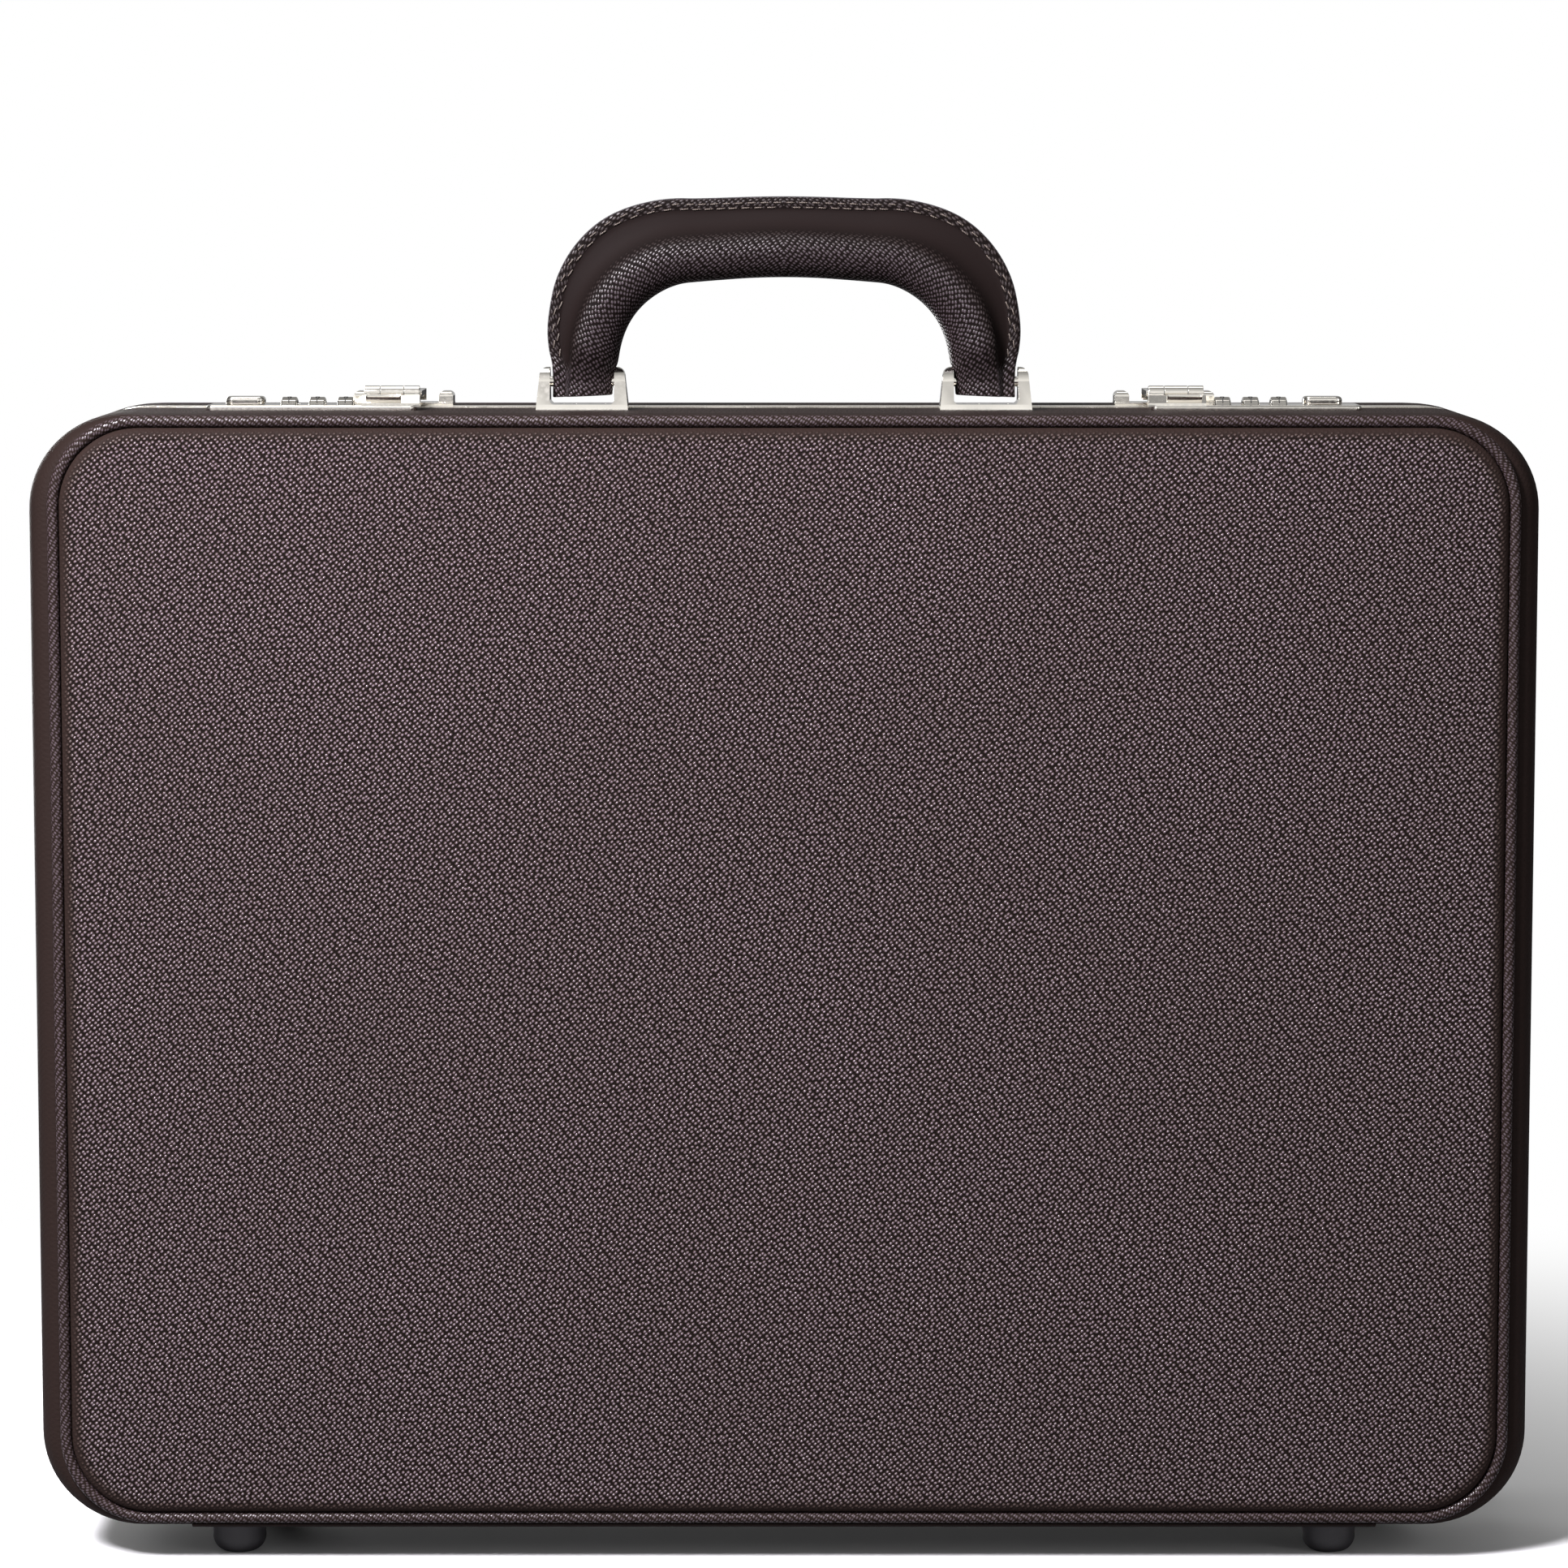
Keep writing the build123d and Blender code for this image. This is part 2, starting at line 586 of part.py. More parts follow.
def make_handle():
    """A steel core with an eye at each end, foam round it, and a leather cover sewn along a welt."""
    path = handle_path()
    bores = pin_rods(BRACKET_PIN_RADIUS + RUNNING_CLEARANCE, BRACKET_HALF)
    above_pins = box((-BRACKET_X, BRACKET_X), (-HALF_DEPTH, HALF_DEPTH), (PIN_Z, 2 * PIN_Z))
    core = tube(path, HANDLE_CORE_RADIUS) & above_pins
    for eye in pin_rods(EYE_RADIUS, EYE_WIDTH / 2):
        core += eye
    inside = tube(path, GRIP_RADIUS - HANDLE_LEATHER) & end_profile(HANDLE_LEATHER)
    cover = ((tube(path, GRIP_RADIUS) + welt(path)) & end_profile(0)) - inside
    foam = inside - core
    for bore in bores:
        core -= bore
        cover -= bore
        foam -= bore
    save("handle_core", core)
    save("handle_padding", foam)
    save("handle_leather", cover)
    save("handle_pins", *pin_rods(BRACKET_PIN_RADIUS, PIN_HALF))


def make_bracket(name, side):
    """A cast bracket: a base with two tapering ears that hold the handle's pin."""
    height = BRACKET_PIN_RISE + EAR_RADIUS
    right = [
        (BRACKET_HALF, 0),
        (BRACKET_HALF - BRACKET_TAPER, height),
        (EAR_GAP_HALF, height),
        (EAR_GAP_HALF, BRACKET_BASE),
    ]
    left = [(-x, z) for x, z in reversed(right)]
    front = Plane(origin=(0, BRACKET_DEPTH / 2, 0), x_dir=(1, 0, 0), z_dir=(0, -1, 0))
    yoke = extrude(front * make_face(Polyline(*right, *left, close=True)), amount=BRACKET_DEPTH)
    tips = yoke.edges().filter_by(Axis.Y).group_by(Axis.Z)[-1].sort_by(Axis.X)
    yoke = fillet([tips[0], tips[-1]], EAR_ROUND)
    inner = [e for e in yoke.edges().filter_by(Axis.Y) if abs(abs(e.center().X) - EAR_GAP_HALF) < 0.01]
    yoke = fillet([e for e in inner if e.center().Z < BRACKET_BASE + 0.01], BRACKET_INNER_ROUND)
    half_depth = BRACKET_DEPTH / 2
    flare = [(-half_depth, -BRACKET_PIN_RISE), (half_depth, -BRACKET_PIN_RISE)]
    flare += [(half_depth, BRACKET_BASE - BRACKET_PIN_RISE), (EAR_RADIUS, 0)]
    flare += [(-EAR_RADIUS, 0), (-half_depth, BRACKET_BASE - BRACKET_PIN_RISE)]
    end = Plane(origin=(-BRACKET_HALF, 0, BRACKET_PIN_RISE), x_dir=(0, 1, 0), z_dir=(1, 0, 0))
    silhouette = make_face(Polyline(*flare, close=True)) + Circle(EAR_RADIUS)
    yoke &= extrude(end * silhouette, amount=2 * BRACKET_HALF)
    bracket = Pos(side * BRACKET_X, HANDLE_Y, TOP_Z) * yoke
    for cut in pin_rods(BRACKET_PIN_RADIUS, BRACKET_HALF) + bracket_rivet_shanks() + bracket_rivet_heads():
        bracket -= cut
    save(name, bracket)


def make_bracket_rivets():
    heads = bracket_rivet_heads()
    tail_low = TOP_Z - LINING_INSET - BACKING - RIVET_HEAD
    tails = [
        rod_z(RIVET_HEAD_RADIUS, x, y, (tail_low, tail_low + RIVET_HEAD)) for x, y in bracket_rivet_places()
    ]
    shanks = bracket_rivet_shanks()
    save("bracket_rivets", *[head + shank + tail for head, shank, tail in zip(heads, shanks, tails)])


def make_backing_plates():
    """Steel strips inside the body, under the lining, that spread the handle's load."""
    plates = []
    z_pair = (TOP_Z - LINING_INSET - BACKING, TOP_Z - LINING_INSET)
    width = BRACKET_DEPTH / 2
    for side in (-1, 1):
        x = side * BRACKET_X
        x_pair = (x - BACKING_LENGTH / 2, x + BACKING_LENGTH / 2)
        plate = box(x_pair, (HANDLE_Y - width, HANDLE_Y + width), z_pair)
        for shank in bracket_rivet_shanks():
            plate -= shank
        plates.append(plate)
    save("backing_plates", *plates)


# ---- locks ----


def lock_x(side, offset):
    """Offsets grow away from the middle of the case, so the two locks mirror each other."""
    return side * (LOCK_X + offset)


def dial_offsets():
    return [DIAL_OFFSET + (i - (DIAL_COUNT - 1) / 2) * DIAL_PITCH for i in range(DIAL_COUNT)]


def hasp_barrel(side, low, high, radius):
    x_pair = (lock_x(side, HASP_OFFSET + low), lock_x(side, HASP_OFFSET + high))
    return rod_x(radius, x_pair, HASP_Y, HASP_Z)


def make_lock_plate(name, side):
    """The visible plate, with windows for the dials, a slot for the button and the hasp's housing."""
    plate = box((-PLATE_LENGTH / 2, PLATE_LENGTH / 2), (-PLATE_WIDTH / 2, PLATE_WIDTH / 2), (0, PLATE))
    plate = fillet(plate.edges().filter_by(Axis.Z), PLATE_ROUND)
    plate = chamfer(plate.faces().sort_by(Axis.Z)[-1].edges(), PLATE / 3)
    plate = Pos(lock_x(side, 0), PLATE_Y, TOP_Z) * plate
    z_pair = (TOP_Z - 1, PLATE_TOP + 1)
    window = DIAL_WIDTH / 2 + DIAL_WINDOW_CLEARANCE
    window_y = DIAL_RADIUS + DIAL_WINDOW_CLEARANCE
    for offset in dial_offsets():
        x_pair = (lock_x(side, offset - window), lock_x(side, offset + window))
        plate -= box(x_pair, (LOCK_Y - window_y, LOCK_Y + window_y), z_pair)
    stem = STEM_LENGTH / 2 + SLOT_CLEARANCE
    slot_x = (lock_x(side, BUTTON_OFFSET - stem), lock_x(side, BUTTON_OFFSET + BUTTON_TRAVEL + stem))
    slot_y = STEM_WIDTH / 2 + SLOT_CLEARANCE
    plate -= box(slot_x, (LOCK_Y - slot_y, LOCK_Y + slot_y), z_pair)
    half_width = HASP_WIDTH / 2
    housing_x = (lock_x(side, HASP_OFFSET + half_width), lock_x(side, HASP_OFFSET - half_width))
    back = HASP_Y - HASP_BARREL_RADIUS - HASP_SIDE_GAP
    front = back - HOUSING_DEPTH
    housing = box(housing_x, (front, back), (PLATE_TOP - 0.5, PLATE_TOP + HOUSING_HEIGHT))
    front_edge = housing.edges().filter_by(Axis.X).group_by(Axis.Z)[-1].sort_by(Axis.Y)[0]
    housing = chamfer(front_edge, HOUSING_SLOPE)
    plate += housing
    outer_near = HASP_MIDDLE_HALF + HASP_SIDE_GAP
    for low, high in ((-HASP_BARREL_HALF, -outer_near), (outer_near, HASP_BARREL_HALF)):
        x_pair = (lock_x(side, HASP_OFFSET + low), lock_x(side, HASP_OFFSET + high))
        y_pair = (HASP_Y - HASP_BARREL_RADIUS, HASP_Y + HASP_BARREL_RADIUS)
        plate += box(x_pair, y_pair, (PLATE_TOP - 0.5, HASP_Z))
        plate += hasp_barrel(side, low, high, HASP_BARREL_RADIUS)
    plate -= hasp_barrel(side, -HASP_WIDTH, HASP_WIDTH, HASP_PIN_RADIUS)
    save(name, plate)


def lock_case(side):
    """The sheet-metal box under the plate, with two posts for the dials' axle."""
    half_length = PLATE_LENGTH / 2 - LOCK_CASE_MARGIN
    half_width = LOCK_CASE_WIDTH / 2
    x_pair = (lock_x(side, -half_length), lock_x(side, half_length))
    case = box(x_pair, (LOCK_Y - half_width, LOCK_Y + half_width), (LOCK_FLOOR, TOP_Z))
    half_length, half_width = half_length - LOCK_CASE_WALL, half_width - LOCK_CASE_WALL
    x_pair = (lock_x(side, -half_length), lock_x(side, half_length))
    case -= box(x_pair, (LOCK_Y - half_width, LOCK_Y + half_width), (LOCK_FLOOR + LOCK_CASE_WALL, TOP_Z + 1))
    bolt_top = LOCK_FLOOR + LOCK_CASE_WALL + 2 * BOLT_FLOOR_GAP + BOLT_HEIGHT
    for edge, out in ((dial_offsets()[0], -1), (dial_offsets()[-1], 1)):
        near = edge + out * (DIAL_WIDTH / 2 + AXLE_POST_GAP)
        post_x = (lock_x(side, near), lock_x(side, near + out * AXLE_POST))
        post_y = (LOCK_Y - half_width, LOCK_Y + half_width)
        post = box(post_x, post_y, (LOCK_FLOOR + LOCK_CASE_WALL / 2, TOP_Z))
        slot_y = BOLT_WIDTH / 2 + SLOT_CLEARANCE
        post -= box(post_x, (LOCK_Y - slot_y, LOCK_Y + slot_y), (LOCK_FLOOR + LOCK_CASE_WALL, bolt_top))
        case += post
    return case - rod_x(AXLE_RADIUS, axle_span(side), LOCK_Y, DIAL_Z)


def axle_span(side):
    reach = DIAL_WIDTH / 2 + AXLE_POST_GAP + AXLE_POST
    return (lock_x(side, dial_offsets()[0] - reach), lock_x(side, dial_offsets()[-1] + reach))


def make_dials():
    """Ten-sided number wheels that turn on a common axle in each lock."""
    half = DIAL_WIDTH / 2
    for name, side in (("left", -1), ("right", 1)):
        for number, offset in enumerate(dial_offsets(), start=1):
            low = min(lock_x(side, offset - half), lock_x(side, offset + half))
            plane = Plane(origin=(low, LOCK_Y, DIAL_Z), x_dir=(0, 1, 0), z_dir=(1, 0, 0))
            turn = Rotation(0, 0, 180 / DIAL_SIDES)
            wheel = extrude(plane * (turn * RegularPolygon(DIAL_RADIUS, DIAL_SIDES)), amount=DIAL_WIDTH)
            ends = [wheel.faces().sort_by(Axis.X)[0], wheel.faces().sort_by(Axis.X)[-1]]
            wheel = chamfer([edge for end in ends for edge in end.edges()], 0.35)
            wheel -= rod_x(AXLE_RADIUS + RUNNING_CLEARANCE, (low - 1, low + DIAL_WIDTH + 1), LOCK_Y, DIAL_Z)
            save(f"dial_{name}_{number}", wheel)
    save("dial_axles", *[rod_x(AXLE_RADIUS, axle_span(side), LOCK_Y, DIAL_Z) for side in (-1, 1)])


def make_button(name, side):
    """The release button, its stem and the bolt that it draws under the dials."""
    cap = Box(BUTTON_LENGTH, BUTTON_WIDTH, BUTTON_HEIGHT)
    cap = fillet(cap.edges().filter_by(Axis.Z), BUTTON_ROUND * 2)
    cap = fillet(cap.faces().sort_by(Axis.Z)[-1].edges(), BUTTON_ROUND)
    cap_z = PLATE_TOP + BUTTON_LIFT + BUTTON_HEIGHT / 2
    button = Pos(lock_x(side, BUTTON_OFFSET), LOCK_Y, cap_z) * cap
    bolt_low = LOCK_FLOOR + LOCK_CASE_WALL + BOLT_FLOOR_GAP
    stem = STEM_LENGTH / 2
    stem_x = (lock_x(side, BUTTON_OFFSET - stem), lock_x(side, BUTTON_OFFSET + stem))
    button += box(stem_x, (LOCK_Y - STEM_WIDTH / 2, LOCK_Y + STEM_WIDTH / 2), (bolt_low, PLATE_TOP + 0.5))
    bolt_x = (lock_x(side, HASP_OFFSET + HASP_MIDDLE_HALF), stem_x[1])
    y_pair = (LOCK_Y - BOLT_WIDTH / 2, LOCK_Y + BOLT_WIDTH / 2)
    button += box(bolt_x, y_pair, (bolt_low, bolt_low + BOLT_HEIGHT))
    save(name, button)


def button_spring(side):
    """The coil that returns the button, between its stem and the end of the lock case."""
    start = BUTTON_OFFSET + STEM_LENGTH / 2 + SPRING_END_GAP + SPRING_WIRE
    end = PLATE_LENGTH / 2 - LOCK_CASE_MARGIN - LOCK_CASE_WALL - SPRING_END_GAP - SPRING_WIRE
    length = end - start
    coil = Helix(pitch=length / SPRING_TURNS, height=length, radius=SPRING_RADIUS)
    wire = sweep(Plane(origin=coil @ 0, z_dir=coil % 0) * Circle(SPRING_WIRE), path=coil, is_frenet=True)
    z = LOCK_FLOOR + LOCK_CASE_WALL + SPRING_RADIUS + 2 * SPRING_WIRE
    return Pos(lock_x(side, start), LOCK_Y, z) * Rotation(0, 90 * side, 0) * wire


def make_hasp(name, side):
    """The flip-up hasp: a barrel on the pin and a plate that reaches over the seam to the keeper."""
    hasp = hasp_barrel(side, -HASP_MIDDLE_HALF, HASP_MIDDLE_HALF, HASP_BARREL_RADIUS)
    top = HASP_Z + 0.4
    near = HASP_Y + HASP_BARREL_RADIUS + HASP_SIDE_GAP
    neck_x = (lock_x(side, HASP_OFFSET - HASP_MIDDLE_HALF), lock_x(side, HASP_OFFSET + HASP_MIDDLE_HALF))
    hasp += box(neck_x, (HASP_Y, near + 1), (top - HASP_THICKNESS, top))
    half_width = HASP_WIDTH / 2
    far = HASP_Y + HASP_REACH
    wing_x = (lock_x(side, HASP_OFFSET - half_width), lock_x(side, HASP_OFFSET + half_width))
    wing = box(wing_x, (near, far), (top - HASP_THICKNESS, top))
    lip_low = TOP_Z + KEEPER + KEEPER_RIVET_HEAD + HASP_LIP_CLEARANCE
    wing += box(wing_x, (far - HASP_LIP, far), (lip_low, top))
    back_corners = wing.edges().filter_by(Axis.Z).group_by(Axis.Y)[-1]
    wing = fillet(back_corners, 2.0)
    hasp += wing
    hasp -= hasp_barrel(side, -HASP_WIDTH, HASP_WIDTH, HASP_PIN_RADIUS + RUNNING_CLEARANCE)
    save(name, hasp)


def keeper(side):
    """The plate on the lid that the hasp comes down on, between two ears."""
    y_low = SEAM_Y + SEAM_GAP / 2 + RIM_WIDTH + KEEPER_FROM_RIM
    y_pair = (y_low, y_low + KEEPER_WIDTH)
    inner, outer = HASP_OFFSET - KEEPER_INNER_REACH, HASP_OFFSET + KEEPER_OUTER_REACH
    plate = box((lock_x(side, inner), lock_x(side, outer)), y_pair, (TOP_Z, TOP_Z + KEEPER))
    for start, end in ((inner, inner + KEEPER_EAR), (outer - KEEPER_EAR, outer)):
        ear_y = (y_pair[0] + KEEPER_EAR_INSET, y_pair[1] - KEEPER_EAR_INSET)
        ear = box((lock_x(side, start), lock_x(side, end)), ear_y, (TOP_Z, TOP_Z + KEEPER_EAR_HEIGHT))
        plate += fillet(ear.faces().sort_by(Axis.Z)[-1].edges(), KEEPER_EAR_ROUND)
    for shank in keeper_rivet_shanks():
        plate -= shank
    return plate


def make_hasp_pins():
    reach = HASP_BARREL_HALF
    save("hasp_pins", *[hasp_barrel(side, -reach, reach, HASP_PIN_RADIUS) for side in (-1, 1)])


def make_keeper_rivets():
    heads = [
        rod_z(KEEPER_RIVET_HEAD_RADIUS, x, y, (TOP_Z + KEEPER, TOP_Z + KEEPER + KEEPER_RIVET_HEAD))
        for x, y in keeper_rivet_places()
    ]
    save("keeper_rivets", *[head + shank for head, shank in zip(heads, keeper_rivet_shanks())])


# ---- lid stays ----


def stay_link(side, x_low, y_foot, extra_hole):
    """A flat link from its stud up to the elbow over the seam, as it stands with the lid closed."""
    foot_z, elbow_z = HINGE_Z + STAY_RISE, HINGE_Z + STAY_ELBOW_RISE
    tilt = atan2(SEAM_Y - y_foot, elbow_z - foot_z)
    dy, dz = STAY_WIDTH / 2 * cos(tilt), STAY_WIDTH / 2 * sin(tilt)
    corners = [
        (y_foot - dy, foot_z + dz),
        (y_foot + dy, foot_z - dz),
        (SEAM_Y + dy, elbow_z - dz),
        (SEAM_Y - dy, elbow_z + dz),
    ]
    shape = make_face(Polyline(*corners, close=True))
    shape += Pos(y_foot, foot_z) * Circle(STAY_WIDTH / 2)
    shape += Pos(SEAM_Y, elbow_z) * Circle(STAY_WIDTH / 2)
    shape -= Pos(y_foot, foot_z) * Circle(STAY_STUD_RADIUS + STAY_STUD_CLEARANCE)
    if extra_hole:
        shape -= Pos(SEAM_Y, elbow_z) * Circle(STAY_STUD_RADIUS)
    plane = Plane(origin=(side * x_low, 0, 0), x_dir=(0, 1, 0), z_dir=(1, 0, 0))
    return extrude(plane * shape, amount=-side * STAY_THICKNESS)


def make_stays():
    """Two folding stays. The body's link lies nearer the wall, and the lid's link carries the elbow rivet."""
    wall = CASE_WIDTH / 2 - OPENING_INSET
    body_x = wall - STAY_WALL_GAP
    lid_x = body_x - STAY_THICKNESS - STAY_GAP
    rivet_x = lid_x - STAY_THICKNESS
    head_x = rivet_x - STAY_HEAD_CLEARANCE
    foot_z, elbow_z = HINGE_Z + STAY_RISE, HINGE_Z + STAY_ELBOW_RISE
    body_studs, lid_studs = [], []
    for name, side in (("left", -1), ("right", 1)):
        y_body, y_lid = SEAM_Y - STAY_FROM_SEAM, SEAM_Y + STAY_FROM_SEAM
        save(f"stay_link_body_{name}", stay_link(side, body_x, y_body, False))
        link = stay_link(side, lid_x, y_lid, True)
        rivet = rod_x(STAY_STUD_RADIUS, (side * rivet_x, side * lid_x), SEAM_Y, elbow_z)
        rivet += rod_x(STAY_HEAD_RADIUS, (side * rivet_x, side * (rivet_x - STAY_HEAD)), SEAM_Y, elbow_z)
        save(f"stay_link_lid_{name}", link, rivet)
        body_end = body_x - STAY_THICKNESS - STAY_GAP / 3
        body_studs.append(rod_x(STAY_STUD_RADIUS, (side * wall, side * body_end), y_body, foot_z))
        stud = rod_x(STAY_STUD_RADIUS, (side * wall, side * head_x), y_lid, foot_z)
        stud += rod_x(STAY_HEAD_RADIUS, (side * head_x, side * (head_x - STAY_HEAD)), y_lid, foot_z)
        lid_studs.append(stud)
    save("stay_studs_body", *body_studs)
    save("stay_studs_lid", *lid_studs)


# ---- organiser in the lid ----


def make_organiser():
    """A stiff leather divider that closes a document pocket, with card, phone and pen places on it."""
    floor_y = LID.y(FACE_S + FACE_BOARD + LINING)
    back_y = floor_y - ORGANISER_FROM_FLOOR
    front_y = back_y - ORGANISER_THICKNESS
    half_width = CASE_WIDTH / 2 - ORGANISER_SIDE_GAP
    low = BOTTOM_Z + OPENING_INSET + ORGANISER_BOTTOM_GAP
    high = TOP_Z - ORGANISER_TOP_GAP
    save("organiser_panel", box((-half_width, half_width), (front_y, back_y), (low, high)))
    outside = box((-half_width, half_width), (back_y, floor_y), (low, high))
    inner = half_width - POCKET_GUSSET
    inside = box((-inner, inner), (back_y, floor_y), (low + POCKET_GUSSET, high + 1))
    save("document_pocket_gusset", outside - inside)
    pockets = []
    base = low + CARD_POCKET_BASE
    x_pair = (CARD_POCKET_X - CARD_POCKET_WIDTH / 2, CARD_POCKET_X + CARD_POCKET_WIDTH / 2)
    for i, height in enumerate(CARD_POCKET_HEIGHTS):
        y_near = front_y - i * CARD_POCKET_LEATHER
        pockets.append(box(x_pair, (y_near, y_near - CARD_POCKET_LEATHER), (base, base + height)))
    save("card_pockets", *pockets)
    x_pair = (PHONE_POCKET_X - PHONE_POCKET_WIDTH / 2, PHONE_POCKET_X + PHONE_POCKET_WIDTH / 2)
    outside = box(x_pair, (front_y, front_y - PHONE_POCKET_THICKNESS), (base, base + PHONE_POCKET_HEIGHT))
    x_pair = (x_pair[0] + POCKET_GUSSET, x_pair[1] - POCKET_GUSSET)
    y_pair = (front_y, front_y - PHONE_POCKET_THICKNESS + POCKET_GUSSET)
    inside = box(x_pair, y_pair, (base + POCKET_GUSSET, base + PHONE_POCKET_HEIGHT + 1))
    save("phone_pocket", outside - inside)
    loops = []
    for x in PEN_LOOP_XS:
        z_pair = (low + PEN_LOOP_BASE, low + PEN_LOOP_BASE + PEN_LOOP_HEIGHT)
        loop = rod_z(PEN_LOOP_RADIUS + PEN_LOOP_LEATHER, x, front_y, z_pair)
        loop -= rod_z(PEN_LOOP_RADIUS, x, front_y, z_pair)
        reach = PEN_LOOP_RADIUS + PEN_LOOP_LEATHER
        loops.append(loop & box((x - reach, x + reach), (front_y, front_y - reach), z_pair))
    save("pen_loops", *loops)


# ---- everything ----

for tray in (BODY, LID):
    make_board(tray)
    make_cover(tray)
    make_panel(tray)
    make_piping(tray)
    make_lining(tray)
    make_rim(tray)
    make_leaf(tray)
    make_feet(tray)
make_hinge_pin()
make_handle()
make_bracket_rivets()
make_backing_plates()
make_dials()
make_hasp_pins()
for hand, direction in (("left", -1), ("right", 1)):
    make_bracket(f"handle_bracket_{hand}", direction)
    make_lock_plate(f"lock_plate_{hand}", direction)
    make_button(f"release_button_{hand}", direction)
    make_hasp(f"hasp_{hand}", direction)
for name, piece in (("lock_cases", lock_case), ("button_springs", button_spring), ("keepers", keeper)):
    save(name, piece(-1), piece(1))
make_keeper_rivets()
make_stays()
make_organiser()
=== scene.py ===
import json
from itertools import product
from math import atan2, copysign, cos, hypot, pi, radians, sin, sqrt, tan

import bmesh
import bpy
from bpy.props import FloatProperty, FloatVectorProperty, PointerProperty
from mathutils import Matrix, Vector

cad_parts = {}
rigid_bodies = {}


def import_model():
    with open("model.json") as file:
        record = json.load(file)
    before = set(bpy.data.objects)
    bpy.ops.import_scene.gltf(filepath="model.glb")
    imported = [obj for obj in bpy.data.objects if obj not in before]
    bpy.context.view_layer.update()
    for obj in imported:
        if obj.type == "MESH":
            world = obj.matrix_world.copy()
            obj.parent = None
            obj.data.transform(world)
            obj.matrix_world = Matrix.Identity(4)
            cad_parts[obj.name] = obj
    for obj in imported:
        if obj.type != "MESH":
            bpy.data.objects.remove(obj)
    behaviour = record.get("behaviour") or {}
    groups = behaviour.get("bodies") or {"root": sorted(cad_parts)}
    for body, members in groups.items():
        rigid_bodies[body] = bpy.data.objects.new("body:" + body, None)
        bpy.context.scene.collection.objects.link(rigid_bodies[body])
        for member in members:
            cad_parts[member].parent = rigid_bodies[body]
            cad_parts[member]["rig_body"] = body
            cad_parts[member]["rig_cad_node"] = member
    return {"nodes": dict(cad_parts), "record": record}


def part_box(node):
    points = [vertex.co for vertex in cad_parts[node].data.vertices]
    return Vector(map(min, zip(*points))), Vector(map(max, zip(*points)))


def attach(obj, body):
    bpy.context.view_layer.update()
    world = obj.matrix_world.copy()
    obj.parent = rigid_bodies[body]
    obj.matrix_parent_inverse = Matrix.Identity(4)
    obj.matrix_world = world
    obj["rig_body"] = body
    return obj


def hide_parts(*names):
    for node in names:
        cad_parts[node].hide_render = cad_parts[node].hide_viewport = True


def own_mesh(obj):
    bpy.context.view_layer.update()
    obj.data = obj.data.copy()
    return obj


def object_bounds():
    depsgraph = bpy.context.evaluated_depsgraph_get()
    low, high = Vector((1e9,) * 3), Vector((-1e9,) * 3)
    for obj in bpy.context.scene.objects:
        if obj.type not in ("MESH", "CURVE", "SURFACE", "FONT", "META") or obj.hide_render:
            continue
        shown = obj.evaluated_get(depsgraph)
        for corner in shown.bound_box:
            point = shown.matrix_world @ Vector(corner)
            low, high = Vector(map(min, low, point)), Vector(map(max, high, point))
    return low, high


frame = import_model()
CAD_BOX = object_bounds()

bl_info = {
    "name": "Leather attache case",
    "version": (1, 0, 0),
    "blender": (4, 5, 0),
    "location": "View3D > Sidebar > Case",
    "description": "Finishes a hard-framed leather attache case round its packed frame",
    "category": "Object",
}

MM = 0.001

# ---- places read from the frame ----

HALVES = {"body": -1, "lid": 1}  # the way each tray's panel faces, along Y
HANDS = {"left": -1, "right": 1}  # the way to each lock, bracket and stay, along X
LEATHER_LOW, LEATHER_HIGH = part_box("body_side_leather")
HALF_WIDTH = LEATHER_HIGH.x
TOP = LEATHER_HIGH.z
BOTTOM = LEATHER_LOW.z
MIDDLE = (TOP + BOTTOM) / 2
HALF_HEIGHT = (TOP - BOTTOM) / 2
PIN_LOW, PIN_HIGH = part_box("handle_pins")
PIN_Y = (PIN_LOW.y + PIN_HIGH.y) / 2
PIN_Z = (PIN_LOW.z + PIN_HIGH.z) / 2


# ---- properties ----


def length(name, description, default):
    return FloatProperty(
        name=name, description=description, default=default, min=0, unit="LENGTH", precision=5
    )


def colour(name, description, default):
    return FloatVectorProperty(
        name=name, description=description, default=default, subtype="COLOR", min=0, max=1
    )


class CaseSizes(bpy.types.PropertyGroup):
    """Sizes of the leather work that the frame doesn't hold"""

    corner: length("Case corner", "Radius of the case's corners seen from the front", 0.032)
    panel_corner: length("Panel corner", "Radius of the padded panel's corners", 0.024)
    panel_shoulder: length("Panel shoulder", "Width over which the panel's edge rolls over", 0.0032)
    panel_drop: length("Panel drop", "Depth of the groove between panel and piping", 0.0030)
    panel_crown: length("Panel crown", "How far the padding stands out in the middle", 0.0012)
    shoulder: length("Shoulder", "Depth over which the sides round off towards the piping", 0.012)
    leather: length("Leather", "Thickness of the covering leather", 0.0014)
    strip_proud: length("Strip step", "How far the bottom strip stands out where it overlaps", 0.0009)
    grip_radius: length("Grip radius", "Radius of the handle's roll", 0.0088)
    grip_rise: length("Grip rise", "Height of the roll's middle over the handle pins", 0.0414)
    grip_crown: length("Grip crown", "How far the middle of the handle bows up", 0.0045)
    grip_bend: length("Grip bend", "Radius of the handle's bends, along the middle of the roll", 0.034)
    grip_leg: length("Grip leg", "Distance from the case's middle to the foot of the roll", 0.0622)
    grip_lean: length("Grip lean", "How far the legs lean in", 0.0037)
    welt_band: length("Welt band", "Width of the sewn band along the welt's edge", 0.0039)
    welt_thickness: length("Welt thickness", "Thickness of the sewn welt", 0.0032)
    stitch: length("Stitch", "Length of one stitch and its gap on the handle", 0.0037)


